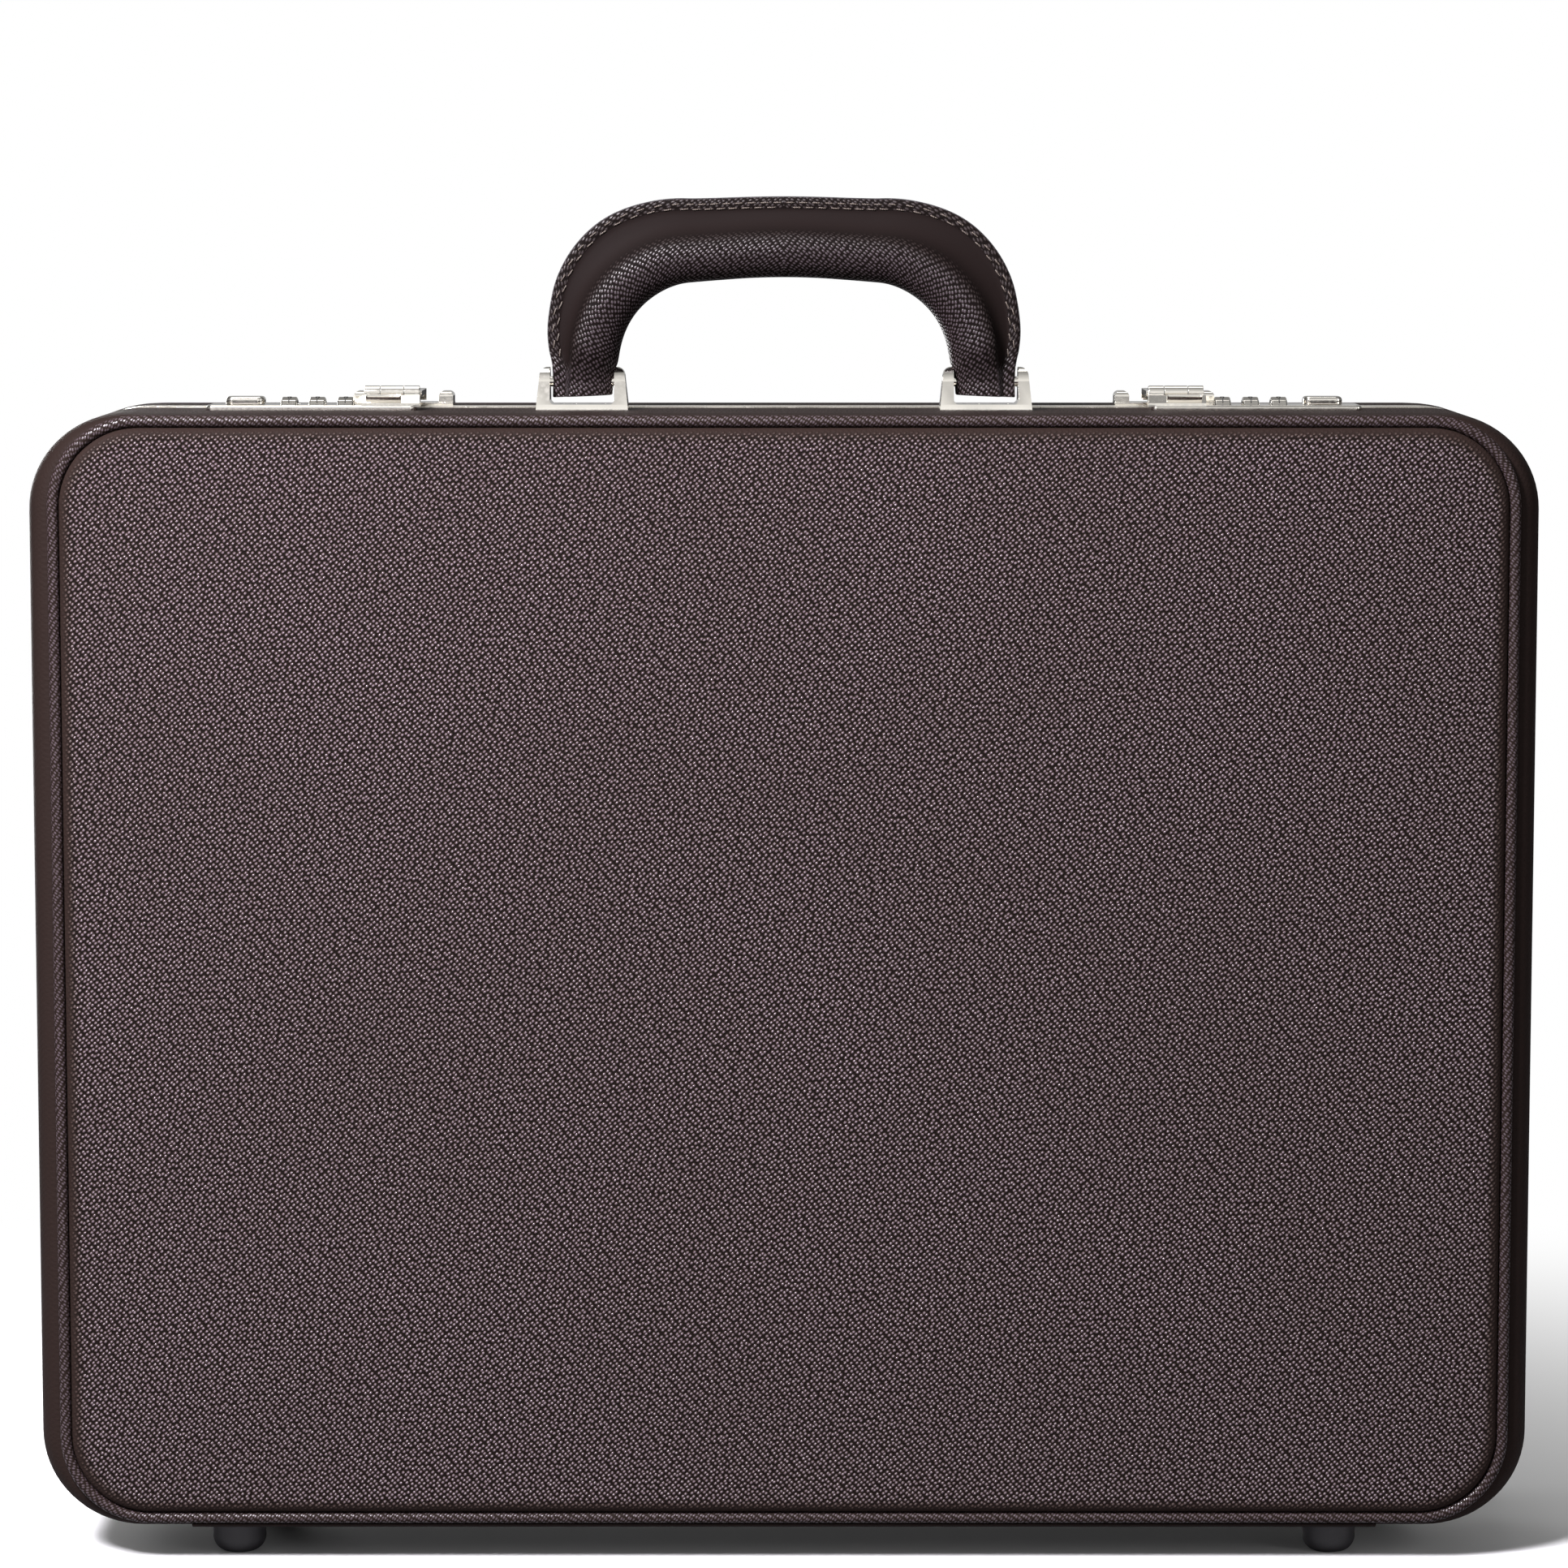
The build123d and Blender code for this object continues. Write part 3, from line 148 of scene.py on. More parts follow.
class CaseColours(bpy.types.PropertyGroup):
    """Colours of the finishes"""

    leather: colour("Leather", "Cross-grain leather", (0.046, 0.029, 0.025))
    # The tips' colour is a painted highlight: the lamps' lilac-white glint on the tops of the beads, laid
    # into the colour.
    leather_worn: colour("Leather tips", "Tops of the grain, painted as highlights", (0.166, 0.121, 0.150))
    grip: colour("Grip leather", "Leather of the handle", (0.0155, 0.0100, 0.0093))
    edge: colour("Welt edge", "Inked cut edge of the welt", (0.018, 0.015, 0.017))
    thread: colour("Thread", "Waxed sewing thread", (0.11, 0.085, 0.070))
    nickel: colour("Nickel", "Warm nickel plate of the hardware", (0.90, 0.86, 0.79))
    rim: colour("Rim", "Anodised rims", (0.74, 0.70, 0.62))
    steel: colour("Steel", "Zinc-plated steel", (0.55, 0.55, 0.54))
    rubber: colour("Rubber", "Rubber of the feet", (0.036, 0.034, 0.036))
    lining: colour("Lining", "Brushed lining cloth", (0.135, 0.085, 0.058))
    organiser: colour("Organiser", "Smooth leather of the organiser", (0.055, 0.038, 0.034))
    board: colour("Board", "Birch ply of the trays", (0.50, 0.36, 0.22))
    ink: colour("Ink", "Paint in the numerals", (0.012, 0.012, 0.012))


def sizes():
    return bpy.context.scene.case_sizes


def colours():
    return bpy.context.scene.case_colours


# ---- material tools ----


class Tree:
    """A node tree, with short ways to add and link nodes."""

    def __init__(self, tree):
        self.tree = tree

    def add(self, kind, inputs=(), **settings):
        made = self.tree.nodes.new(kind)
        for key, value in settings.items():
            setattr(made, key, value)
        for key, value in dict(inputs).items():
            self.put(made.inputs[key], value)
        return made

    def put(self, socket, value):
        if isinstance(value, bpy.types.NodeSocket):
            self.tree.links.new(value, socket)
        else:
            socket.default_value = value

    def math(self, operation, a, b=0.0, clamp=False):
        return self.add("ShaderNodeMath", {0: a, 1: b}, operation=operation, use_clamp=clamp).outputs[0]

    def vector(self, operation, inputs):
        return self.add("ShaderNodeVectorMath", inputs, operation=operation).outputs[0]

    def spread(self, value, low, high, to_low=0.0, to_high=1.0, curve="SMOOTHSTEP"):
        inputs = {"Value": value, "From Min": low, "From Max": high, "To Min": to_low, "To Max": to_high}
        return self.add("ShaderNodeMapRange", inputs, interpolation_type=curve).outputs[0]

    def ramp(self, value, low, high, to_low, to_high):
        return self.spread(value, low, high, to_low, to_high, "LINEAR")

    def mix(self, share, a, b):
        made = self.add("ShaderNodeMix", data_type="RGBA")
        self.put(made.inputs["Factor"], share)
        for socket, value in ((made.inputs[6], a), (made.inputs[7], b)):
            self.put(socket, value if isinstance(value, bpy.types.NodeSocket) else (*value, 1))
        return made.outputs[2]

    def noise(self, vector, scale, detail=3.0, roughness=0.5):
        inputs = {"Vector": vector, "Scale": scale, "Detail": detail, "Roughness": roughness}
        return self.add("ShaderNodeTexNoise", inputs).outputs["Fac"]

    def places(self, output="Object"):
        return self.add("ShaderNodeTexCoord").outputs[output]

    def mapped(self, vector, turn=0.0, scale=(1, 1, 1)):
        inputs = {"Vector": vector, "Rotation": (0, 0, turn), "Scale": scale}
        return self.add("ShaderNodeMapping", inputs).outputs[0]

    def bump(self, height, distance, strength=1.0):
        inputs = {"Height": height, "Distance": distance, "Strength": strength}
        return self.add("ShaderNodeBump", inputs).outputs[0]


class Nodes(Tree):
    """A material's node tree, which ends in a principled shader."""

    def __init__(self, name):
        self.material = bpy.data.materials.new(name)
        self.material.use_nodes = True
        super().__init__(self.material.node_tree)
        self.shader = self.tree.nodes["Principled BSDF"]

    def finish(self, **inputs):
        names = {
            "colour": "Base Color",
            "metallic": "Metallic",
            "roughness": "Roughness",
            "normal": "Normal",
            "specular": "Specular IOR Level",
            "sheen": "Sheen Weight",
        }
        for key, value in inputs.items():
            if key == "colour" and not isinstance(value, bpy.types.NodeSocket):
                value = (*value, 1)
            self.put(self.shader.inputs[names[key]], value)
        return self.material


def shade(tone, share):
    return [channel * share for channel in tone]


def material(name, build):
    """The material of that name, built the first time that it is asked for."""
    found = bpy.data.materials.get(name)
    return found if found else build(Nodes(name))


# ---- leather ----

GRAIN_WANDER = 0.9 * MM  # how far the rows of beads stray from straight
TIGHT_SHADE = 0.56  # tone of leather that is stretched smooth, against the tops of its beads: partly painted shade, for the smooth leather along the piping and in the handle's valley


def cross_grain(nodes, bead, tilt):
    """Embossed beads in slanting rows, on the piece's own map. Returns beads, pores and tightness."""
    flat = nodes.places("UV")
    drift = nodes.add("ShaderNodeTexNoise", {"Vector": flat, "Scale": 55.0, "Detail": 2.0}).outputs["Color"]
    shift = nodes.vector("SUBTRACT", {0: drift, 1: (0.5, 0.5, 0.5)})
    sway = nodes.vector("SCALE", {0: shift, "Scale": GRAIN_WANDER})
    place = nodes.vector("ADD", {0: flat, 1: sway})
    turned = nodes.mapped(nodes.mapped(place, turn=tilt), scale=(1 / bead[0], 1 / bead[1], 1))
    cells = nodes.add(
        "ShaderNodeTexVoronoi",
        {"Vector": turned, "Scale": 1.0, "Randomness": 0.34},
        voronoi_dimensions="2D",
        feature="F1",
    )
    tight = nodes.add("ShaderNodeAttribute", attribute_name="tight").outputs["Fac"]
    loose = nodes.math("SUBTRACT", 1.0, tight, clamp=True)
    beads = nodes.math("MULTIPLY", nodes.spread(cells.outputs["Distance"], 0.60, 0.08), loose)
    pores = nodes.noise(flat, 2600.0, 3.0, 0.6)
    return beads, pores, tight


def leather_material(name, dark, light, bead, tilt, relief, gloss, valley_shade):
    """Cross-grain leather: glossy beads with a painted highlight on their tops, of a size along and across
    the rows, over dull valleys that are painted darker as shade.
    """

    def build(nodes):
        beads, pores, tight = cross_grain(nodes, bead, tilt)
        # The tops of the beads get the painted highlight, stronger in random patches.
        patches = nodes.noise(nodes.places("UV"), 9.0, 3.0, 0.55)
        highlight_patches = nodes.spread(patches, 0.3, 0.75, 0.7, 1.0)
        painted_highlight = nodes.math("MULTIPLY", nodes.spread(beads, 0.55, 1.0), highlight_patches)
        # Painted shade: the valleys between the beads are darkened down to the valley tone, standing in for
        # the shadow that the beads would cast.
        valley = nodes.math(
            "MAXIMUM",
            nodes.spread(beads, 0.05, 0.6, valley_shade, 1.0),
            # Smooth, stretched leather is also painted darker, partly as shade.
            nodes.math("MULTIPLY", tight, TIGHT_SHADE),
        )
        shaded = nodes.add("ShaderNodeMix", data_type="RGBA", blend_type="MULTIPLY")
        nodes.put(shaded.inputs["Factor"], 1.0)
        nodes.put(shaded.inputs[6], nodes.mix(painted_highlight, dark, light))
        nodes.put(shaded.inputs[7], valley)
        height = nodes.math("ADD", beads, nodes.math("MULTIPLY", pores, 0.25))
        return nodes.finish(
            colour=shaded.outputs[2],
            roughness=nodes.spread(beads, 0.2, 1.0, gloss + 0.34, gloss),
            specular=nodes.spread(beads, 0.2, 0.8, 0.04, 0.45),
            normal=nodes.bump(height, relief, 1.0),
        )

    return material(name, build)


def case_leather():
    return leather_material(
        "Cross-grain leather",
        colours().leather,
        colours().leather_worn,
        bead=(1.45 * MM, 1.15 * MM),
        tilt=radians(-40),
        relief=0.40 * MM,
        gloss=0.24,
        valley_shade=0.13,
    )


def side_leather():
    # A darker copy of the case leather, base ×0.74 and painted-highlight tips ×0.60: painted shade on the
    # sides.
    return leather_material(
        "Side leather",
        shade(colours().leather, 0.74),
        shade(colours().leather_worn, 0.60),
        bead=(1.45 * MM, 1.15 * MM),
        tilt=radians(-40),
        relief=0.30 * MM,
        gloss=0.26,
        valley_shade=0.13,
    )


def piping_leather():
    # A darker copy of the case leather, base ×0.54 and painted-highlight tips ×0.46: painted shade on the
    # piping.
    return leather_material(
        "Piping leather",
        shade(colours().leather, 0.54),
        shade(colours().leather_worn, 0.46),
        bead=(1.5 * MM, 0.85 * MM),
        tilt=radians(-55),
        relief=0.05 * MM,
        gloss=0.24,
        valley_shade=0.50,
    )


def grip_leather():
    return leather_material(
        "Grip leather",
        colours().grip,
        # The tips carry the painted highlight, dimmed to 0.42.
        shade(colours().leather_worn, 0.42),
        bead=(1.5 * MM, 0.95 * MM),
        tilt=radians(35),
        relief=0.15 * MM,
        gloss=0.31,
        valley_shade=0.28,
    )


def smooth_leather():
    def build(nodes):
        place = nodes.places()
        folds = nodes.add(
            "ShaderNodeTexVoronoi", {"Vector": place, "Scale": 900.0}, feature="DISTANCE_TO_EDGE"
        )
        height = nodes.spread(folds.outputs["Distance"], 0.0, 0.25)
        cloudy = nodes.noise(place, 14.0)
        tone = colours().organiser
        tint = nodes.mix(nodes.spread(cloudy, 0.3, 0.7), shade(tone, 0.75), shade(tone, 1.35))
        roughness = nodes.spread(cloudy, 0.3, 0.7, 0.42, 0.55)
        return nodes.finish(colour=tint, roughness=roughness, normal=nodes.bump(height, 0.06 * MM, 0.8))

    return material("Organiser leather", build)


def welt_edge():
    def build(nodes):
        place = nodes.places()
        rough = nodes.noise(place, 900.0, 5.0, 0.7)
        tone = colours().edge
        tint = nodes.mix(nodes.spread(rough, 0.45, 0.8), tone, shade(tone, 5))
        return nodes.finish(colour=tint, roughness=0.55, normal=nodes.bump(rough, 0.35 * MM, 1.0))

    return material("Welt edge ink", build)


def thread():
    def build(nodes):
        place = nodes.places()
        twist = nodes.add("ShaderNodeTexWave", {"Vector": place, "Scale": 420.0, "Distortion": 0.5})
        ply = twist.outputs["Fac"]
        tone = nodes.mix(ply, shade(colours().thread, 0.55), colours().thread)
        return nodes.finish(colour=tone, roughness=0.6, normal=nodes.bump(ply, 0.08 * MM))

    return material("Waxed thread", build)


# ---- metal, rubber, cloth and wood ----


def metal(name, tone, roughness, streak, scale):
    """Plated or brushed metal. Streak stretches the fine scratches along X."""

    def build(nodes):
        place = nodes.mapped(nodes.places(), scale=streak)
        scratch = nodes.noise(place, scale, 4.0, 0.65)
        smear = nodes.noise(nodes.places(), 60.0, 2.0)
        polish = nodes.math("MULTIPLY", nodes.spread(scratch, 0.3, 0.7, 0.75, 1.35), roughness)
        polish = nodes.math("ADD", polish, nodes.spread(smear, 0.55, 0.8, 0.0, 0.06))
        tint = nodes.mix(nodes.spread(smear, 0.35, 0.75), tone, shade(tone, 0.88))
        normal = nodes.bump(scratch, 0.01 * MM, 0.5)
        return nodes.finish(colour=tint, metallic=1.0, roughness=polish, normal=normal)

    return material(name, build)


def nickel():
    return metal("Polished nickel", colours().nickel, 0.10, (1, 1, 1), 700.0)


def rim_metal():
    return metal("Satin rim", colours().rim, 0.24, (0.05, 1, 0.05), 1500.0)


def steel():
    return metal("Plated steel", colours().steel, 0.28, (0.15, 1, 1), 1200.0)


def rubber():
    def build(nodes):
        place = nodes.places()
        speck = nodes.noise(place, 1500.0, 4.0, 0.7)
        dust = nodes.spread(nodes.noise(place, 90.0), 0.5, 0.8)
        tone = colours().rubber
        tint = nodes.mix(nodes.math("MULTIPLY", dust, 0.35), tone, (0.16, 0.15, 0.15))
        return nodes.finish(colour=tint, roughness=0.62, normal=nodes.bump(speck, 0.05 * MM, 0.7))

    return material("Moulded rubber", build)


def lining_cloth():
    def build(nodes):
        place = nodes.places()
        nap = nodes.noise(place, 170.0, 0.0, 0.5)
        strokes = nodes.noise(place, 22.0, 3.0, 0.6)
        tone = colours().lining
        brushed = nodes.mix(nodes.spread(strokes, 0.35, 0.7), shade(tone, 0.72), shade(tone, 1.3))
        pile = nodes.bump(nap, 0.10 * MM, 0.6)
        return nodes.finish(colour=brushed, roughness=0.95, sheen=0.2, normal=pile)

    return material("Brushed lining", build)


def elastic():
    def build(nodes):
        place = nodes.places()
        ribs = nodes.add(
            "ShaderNodeTexWave", {"Vector": place, "Scale": 260.0, "Distortion": 0.2}, bands_direction="Z"
        )
        rib = ribs.outputs["Fac"]
        tone = nodes.mix(rib, (0.012, 0.011, 0.012), (0.05, 0.045, 0.045))
        return nodes.finish(colour=tone, roughness=0.8, normal=nodes.bump(rib, 0.15 * MM))

    return material("Woven elastic", build)


def birch():
    def build(nodes):
        place = nodes.mapped(nodes.places(), scale=(1, 12, 6))
        waves = {"Vector": place, "Scale": 18.0, "Distortion": 6.0, "Detail": 3.0}
        rings = nodes.add("ShaderNodeTexWave", waves).outputs["Fac"]
        tone = nodes.mix(rings, shade(colours().board, 0.72), colours().board)
        return nodes.finish(colour=tone, roughness=0.6, normal=nodes.bump(rings, 0.05 * MM))

    return material("Birch ply", build)


def ink():
    def build(nodes):
        speck = nodes.noise(nodes.places(), 2500.0)
        tint = nodes.mix(nodes.spread(speck, 0.55, 0.85), colours().ink, (0.06, 0.06, 0.06))
        return nodes.finish(colour=tint, roughness=0.45)

    return material("Numeral paint", build)


# ---- modelling tools ----


def deselect():
    if bpy.context.object and bpy.context.object.mode != "OBJECT":
        bpy.ops.object.mode_set(mode="OBJECT")
    bpy.ops.object.select_all(action="DESELECT")


def activate(piece):
    deselect()
    piece.select_set(True)
    bpy.context.view_layer.objects.active = piece


def named(name):
    """The object that an operator has just added, under its own name."""
    piece = bpy.context.object
    piece.name = piece.data.name = name
    return piece


class Editing:
    """Edit mode on one piece, for the length of a with block."""

    def __init__(self, piece):
        self.piece = piece

    def __enter__(self):
        activate(self.piece)
        bpy.ops.object.mode_set(mode="EDIT")
        return self

    def __exit__(self, *_):
        bpy.ops.object.mode_set(mode="OBJECT")

    def pick(self, kind, test):
        """Selects the vertices, edges or faces that pass a test."""
        bpy.ops.mesh.select_mode(type={"verts": "VERT", "edges": "EDGE", "faces": "FACE"}[kind])
        bpy.ops.mesh.select_all(action="DESELECT")
        shape = bmesh.from_edit_mesh(self.piece.data)
        for item in getattr(shape, kind):
            item.select_set(bool(test(item)))
        bmesh.update_edit_mesh(self.piece.data)


def apply_modifiers(piece):
    activate(piece)
    for modifier in list(piece.modifiers):
        bpy.ops.object.modifier_apply(modifier=modifier.name)


def made_of(shape, name):
    """A piece with the mesh that a bmesh holds. The bmesh is used up."""
    deselect()
    bpy.ops.mesh.primitive_plane_add(size=1)
    piece = named(name)
    shape.to_mesh(piece.data)
    shape.free()
    return piece


def settle(piece):
    """Puts a piece's place into its mesh."""
    activate(piece)
    bpy.ops.object.transform_apply(location=True, rotation=True, scale=True)


def smooth(piece, angle):
    activate(piece)
    bpy.ops.object.shade_smooth_by_angle(angle=radians(angle))


def recalculate(piece):
    with Editing(piece):
        bpy.ops.mesh.select_all(action="SELECT")
        bpy.ops.mesh.remove_doubles(threshold=0.01 * MM)
        bpy.ops.mesh.normals_make_consistent(inside=False)


def soften(piece, name, width, segments, angle):
    """Rounds off the edges that are sharper than an angle, once the piece's modifiers are applied."""
    rounding = piece.modifiers.new(name, "BEVEL")
    rounding.width = width
    rounding.segments = segments
    rounding.limit_method = "ANGLE"
    rounding.angle_limit = radians(angle)


def thicken(piece, name, thickness):
    """Gives a skin its thickness, inwards, once the piece's modifiers are applied."""
    wall = piece.modifiers.new(name, "SOLIDIFY")
    wall.thickness = thickness
    wall.offset = -1


def ease(value):
    value = min(max(value, 0.0), 1.0)
    return value * value * (3 - 2 * value)


def finished(piece, body, finish, slot, *stands_for):
    """Gives a piece its finish, its body and the CAD nodes that it stands for."""
    piece.data.materials.clear()
    piece.data.materials.append(finish)
    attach(piece, body)
    if stands_for:
        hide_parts(*stands_for)


def paint(node, finish):
    """Gives a CAD node a finish."""
    piece = frame["nodes"][node]
    piece.data.materials.clear()
    piece.data.materials.append(finish)


def body_of(node):
    bodies = frame["record"]["behaviour"]["bodies"]
    return next(body for body, members in bodies.items() if node in members)


def slot_of(node):
    return next(s["material_slot"] for s in frame["record"]["subparts"] if s["node"] == node)


def copy_of(node, name):
    """A copy of a CAD node, with nothing left on it that ties it to the frame."""
    activate(frame["nodes"][node])
    bpy.ops.object.duplicate()
    piece = named(name)
    piece.parent = None
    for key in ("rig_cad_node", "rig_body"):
        del piece[key]
    return piece


def refine(node, finish, edge, segments=3, angle=28):
    """A copy of a hard CAD node with merged faces and softly broken edges, which stands for it."""
    piece = copy_of(node, node + "_finished")
    with Editing(piece):
        bpy.ops.mesh.select_all(action="SELECT")
        bpy.ops.mesh.remove_doubles(threshold=0.002 * MM)
        bpy.ops.mesh.dissolve_limited(angle_limit=radians(0.6))
    soften(piece, "Broken edges", edge, segments, angle)
    apply_modifiers(piece)
    smooth(piece, 40)
    flatten = piece.modifiers.new("Flat faces", "WEIGHTED_NORMAL")
    flatten.keep_sharp = True
    apply_modifiers(piece)
    finished(piece, body_of(node), finish, slot_of(node), node)


# ---- outlines and unrolling ----


def outline_loop(name, half_x, half_z, corner, y, middle, steps=14):
    """A closed loop of edges: a rounded rectangle on the upright plane at y."""
    deselect()
    bpy.ops.mesh.primitive_plane_add(size=2, location=(0, y, middle), rotation=(pi / 2, 0, 0))
    piece = named(name)
    piece.scale = (half_x, half_z, 1)
    settle(piece)
    with Editing(piece):
        bpy.ops.mesh.select_all(action="SELECT")
        bpy.ops.mesh.bevel(affect="VERTICES", offset=corner, segments=steps, offset_type="OFFSET")
        bpy.ops.mesh.select_all(action="SELECT")
        bpy.ops.mesh.delete(type="ONLY_FACE")
    for vertex in piece.data.vertices:
        x, z = onto_arc(vertex.co.x, vertex.co.z - middle, half_x, half_z, corner)
        vertex.co.x, vertex.co.z = x, middle + z
    return piece


def onto_arc(x, z, half_x, half_z, corner):
    """Pulls a place near a rectangle's corner on to the arc that rounds the corner off."""
    dx, dz = abs(x) - (half_x - corner), abs(z) - (half_z - corner)
    if dx > 1e-6 and dz > 1e-6:
        pull = corner / hypot(dx, dz)
        x = copysign(half_x - corner + dx * pull, x)
        z = copysign(half_z - corner + dz * pull, z)
    return x, z


def girth(x, up, half_x, half_z, corner, sign):
    """Distance round the outline from the middle of its top edge, on the side that sign names."""
    along = sign * x
    flat_x, flat_z = half_x - corner, half_z - corner
    quarter = corner * pi / 2
    if along <= flat_x:
        return along if up > 0 else 2 * (flat_x + quarter + flat_z) - along
    if up >= flat_z:
        return flat_x + corner * atan2(along - flat_x, up - flat_z)
    if up > -flat_z:
        return flat_x + quarter + flat_z - up
    return flat_x + quarter + 2 * flat_z + corner * atan2(-flat_z - up, along - flat_x)


def grain_layer(mesh):
    """An empty map for the grain, as the mesh's only one."""
    while mesh.uv_layers:
        mesh.uv_layers.remove(mesh.uv_layers[0])
    return mesh.uv_layers.new(name="Grain")


def unroll(piece, half_x, half_z, corner, middle, second):
    """Writes the map that grain follows: distance round the case, and whatever second says of a place."""
    mesh = piece.data
    layer = grain_layer(mesh)
    for face in mesh.polygons:
        sign = 1 if face.center.x >= 0 else -1
        for corner_index in face.loop_indices:
            place = mesh.vertices[mesh.loops[corner_index].vertex_index].co
            around = sign * girth(place.x, place.z - middle, half_x, half_z, corner, sign)
            layer.data[corner_index].uv = (around, second(place))


def flat_map(piece, sign):
    """Writes the grain's map straight on to a panel."""
    mesh = piece.data
    layer = grain_layer(mesh)
    for loop in mesh.loops:
        place = mesh.vertices[loop.vertex_index].co
        layer.data[loop.index].uv = (sign * place.x, place.z)


def add_subdivided_edges(piece, cuts):
    """Divides the long straight edges of an outline, so that they can be drawn out smoothly."""
    with Editing(piece) as edit:
        edit.pick("edges", lambda edge: edge.calc_length() > 50 * MM)
        bpy.ops.mesh.subdivide(number_cuts=cuts)


# ---- panels ----

CROWN_RISE = 30 * MM  # distance in from the edge over which most of the crown rises
SMOOTH_BORDER = 6.4 * MM  # width of the border where the grain is pressed out of the leather and the leather is painted darker, as shade under the piping
CROWDING = 1.9  # how much closer together the mesh's rings lie towards the edge


def panel_depth(inset):
    """How far the panel's skin has risen from the groove at a distance in from its edge."""
    s = sizes()
    share = min(inset / s.panel_shoulder, 1)
    roll = s.panel_drop * sqrt(1 - (1 - share) ** 2)
    return roll + s.panel_crown * (1 - 2.718 ** (-inset / CROWN_RISE))


def shape_panel(panel, half_x, half_z, middle, face_y, side):
    """Moves the points of a square grid on to the panel's skin, and says how tight the skin is there."""
    s = sizes()
    tight = []
    for vertex in panel.data.vertices:
        u, v = vertex.co.x, vertex.co.z - middle
        ring = max(abs(u), abs(v), 1e-9)
        inset = half_z * max(1 - ring, 0) ** CROWDING
        reach_x, reach_z = half_x - inset, half_z - inset
        corner = max(s.panel_corner - 0.6 * inset, 2 * MM)
        x, z = onto_arc(reach_x * u / ring, reach_z * v / ring, reach_x, reach_z, corner)
        rise = panel_depth(inset) - s.panel_drop
        vertex.co = (x, face_y + side * rise, middle + z)
        # The tight border loses its grain and is painted darker, as the shade under the piping.
        tight.append(1 - ease((inset + 1.2 * MM) / SMOOTH_BORDER))
    grade = panel.data.attributes.new("tight", "FLOAT", "POINT")
    grade.data.foreach_set("value", tight)


def make_panel(half, side):
    """A padded panel: leather drawn over foam, with a rolled edge and a low crown."""
    low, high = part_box(f"{half}_panel_leather")
    half_x, half_z, middle = high.x, (high.z - low.z) / 2, (high.z + low.z) / 2
    back_y = high.y if side < 0 else low.y
    face_y = low.y if side < 0 else high.y
    deselect()
    bpy.ops.mesh.primitive_grid_add(
        x_subdivisions=150, y_subdivisions=118, size=2, location=(0, back_y, middle), rotation=(pi / 2, 0, 0)
    )
    panel = named(f"{half}_padded_panel")
    settle(panel)
    shape_panel(panel, half_x, half_z, middle, face_y, side)
    with Editing(panel) as edit:
        edit.pick("edges", lambda edge: edge.is_boundary)
        bpy.ops.mesh.extrude_edges_move(TRANSFORM_OT_translate={"value": (0, 0, 0)})
    rim = {i for e in panel.data.edges for i in e.vertices if e.select}
    for index in rim:
        panel.data.vertices[index].co.y = back_y
    with Editing(panel) as edit:
        edit.pick("edges", lambda edge: edge.is_boundary)
        bpy.ops.mesh.edge_face_add()
    recalculate(panel)
    smooth(panel, 50)
    flat_map(panel, -side)
    finished(
        panel, half, case_leather(), "case_leather", f"{half}_panel_leather", f"{half}_panel_padding"
    )


class CASE_OT_panels(bpy.types.Operator):
    """Make the padded leather panels on the two faces"""

    bl_idname = "case.panels"
    bl_label = "Padded panels"

    def execute(self, context):
        for half, side in HALVES.items():
            make_panel(half, side)
        return {"FINISHED"}


# ---- piping ----


def make_piping(half, side):
    """Leather rolled round a cord, sewn in between panel and side."""
    low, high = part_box(f"{half}_piping")
    radius = (high.y - low.y) / 2
    y, middle = (high.y + low.y) / 2, (high.z + low.z) / 2
    half_x, half_z = high.x - radius, (high.z - low.z) / 2 - radius
    corner = sizes().panel_corner + radius
    piping = outline_loop(f"{half}_piping_cord", half_x, half_z, corner, y, middle, 18)
    add_subdivided_edges(piping, 60)
    activate(piping)
    bpy.ops.object.convert(target="CURVE")
    piping.data.bevel_depth = radius
    piping.data.bevel_resolution = 5
    activate(piping)
    bpy.ops.object.convert(target="MESH")
    piping = named(f"{half}_piping_cord")
    recalculate(piping)

    def across(place):
        dx, dz = abs(place.x) - (half_x - corner), abs(place.z - middle) - (half_z - corner)
        out = hypot(max(dx, 0), max(dz, 0)) if dx > 0 and dz > 0 else max(dx, dz)
        return radius * atan2(out - corner, side * (place.y - y))

    unroll(piping, half_x, half_z, corner, middle, across)
    smooth(piping, 60)
    finished(piping, half, piping_leather(), "case_leather", f"{half}_piping")


class CASE_OT_piping(bpy.types.Operator):
    """Make the piping round both panels"""

    bl_idname = "case.piping"
    bl_label = "Piping"

    def execute(self, context):
        for half, side in HALVES.items():
            make_piping(half, side)
        return {"FINISHED"}


# ---- leather round the sides ----

LIP = 2.6 * MM  # how far the side leather turns in behind the piping
LIP_PROUD = 0.05 * MM  # how far that lip stands off the board


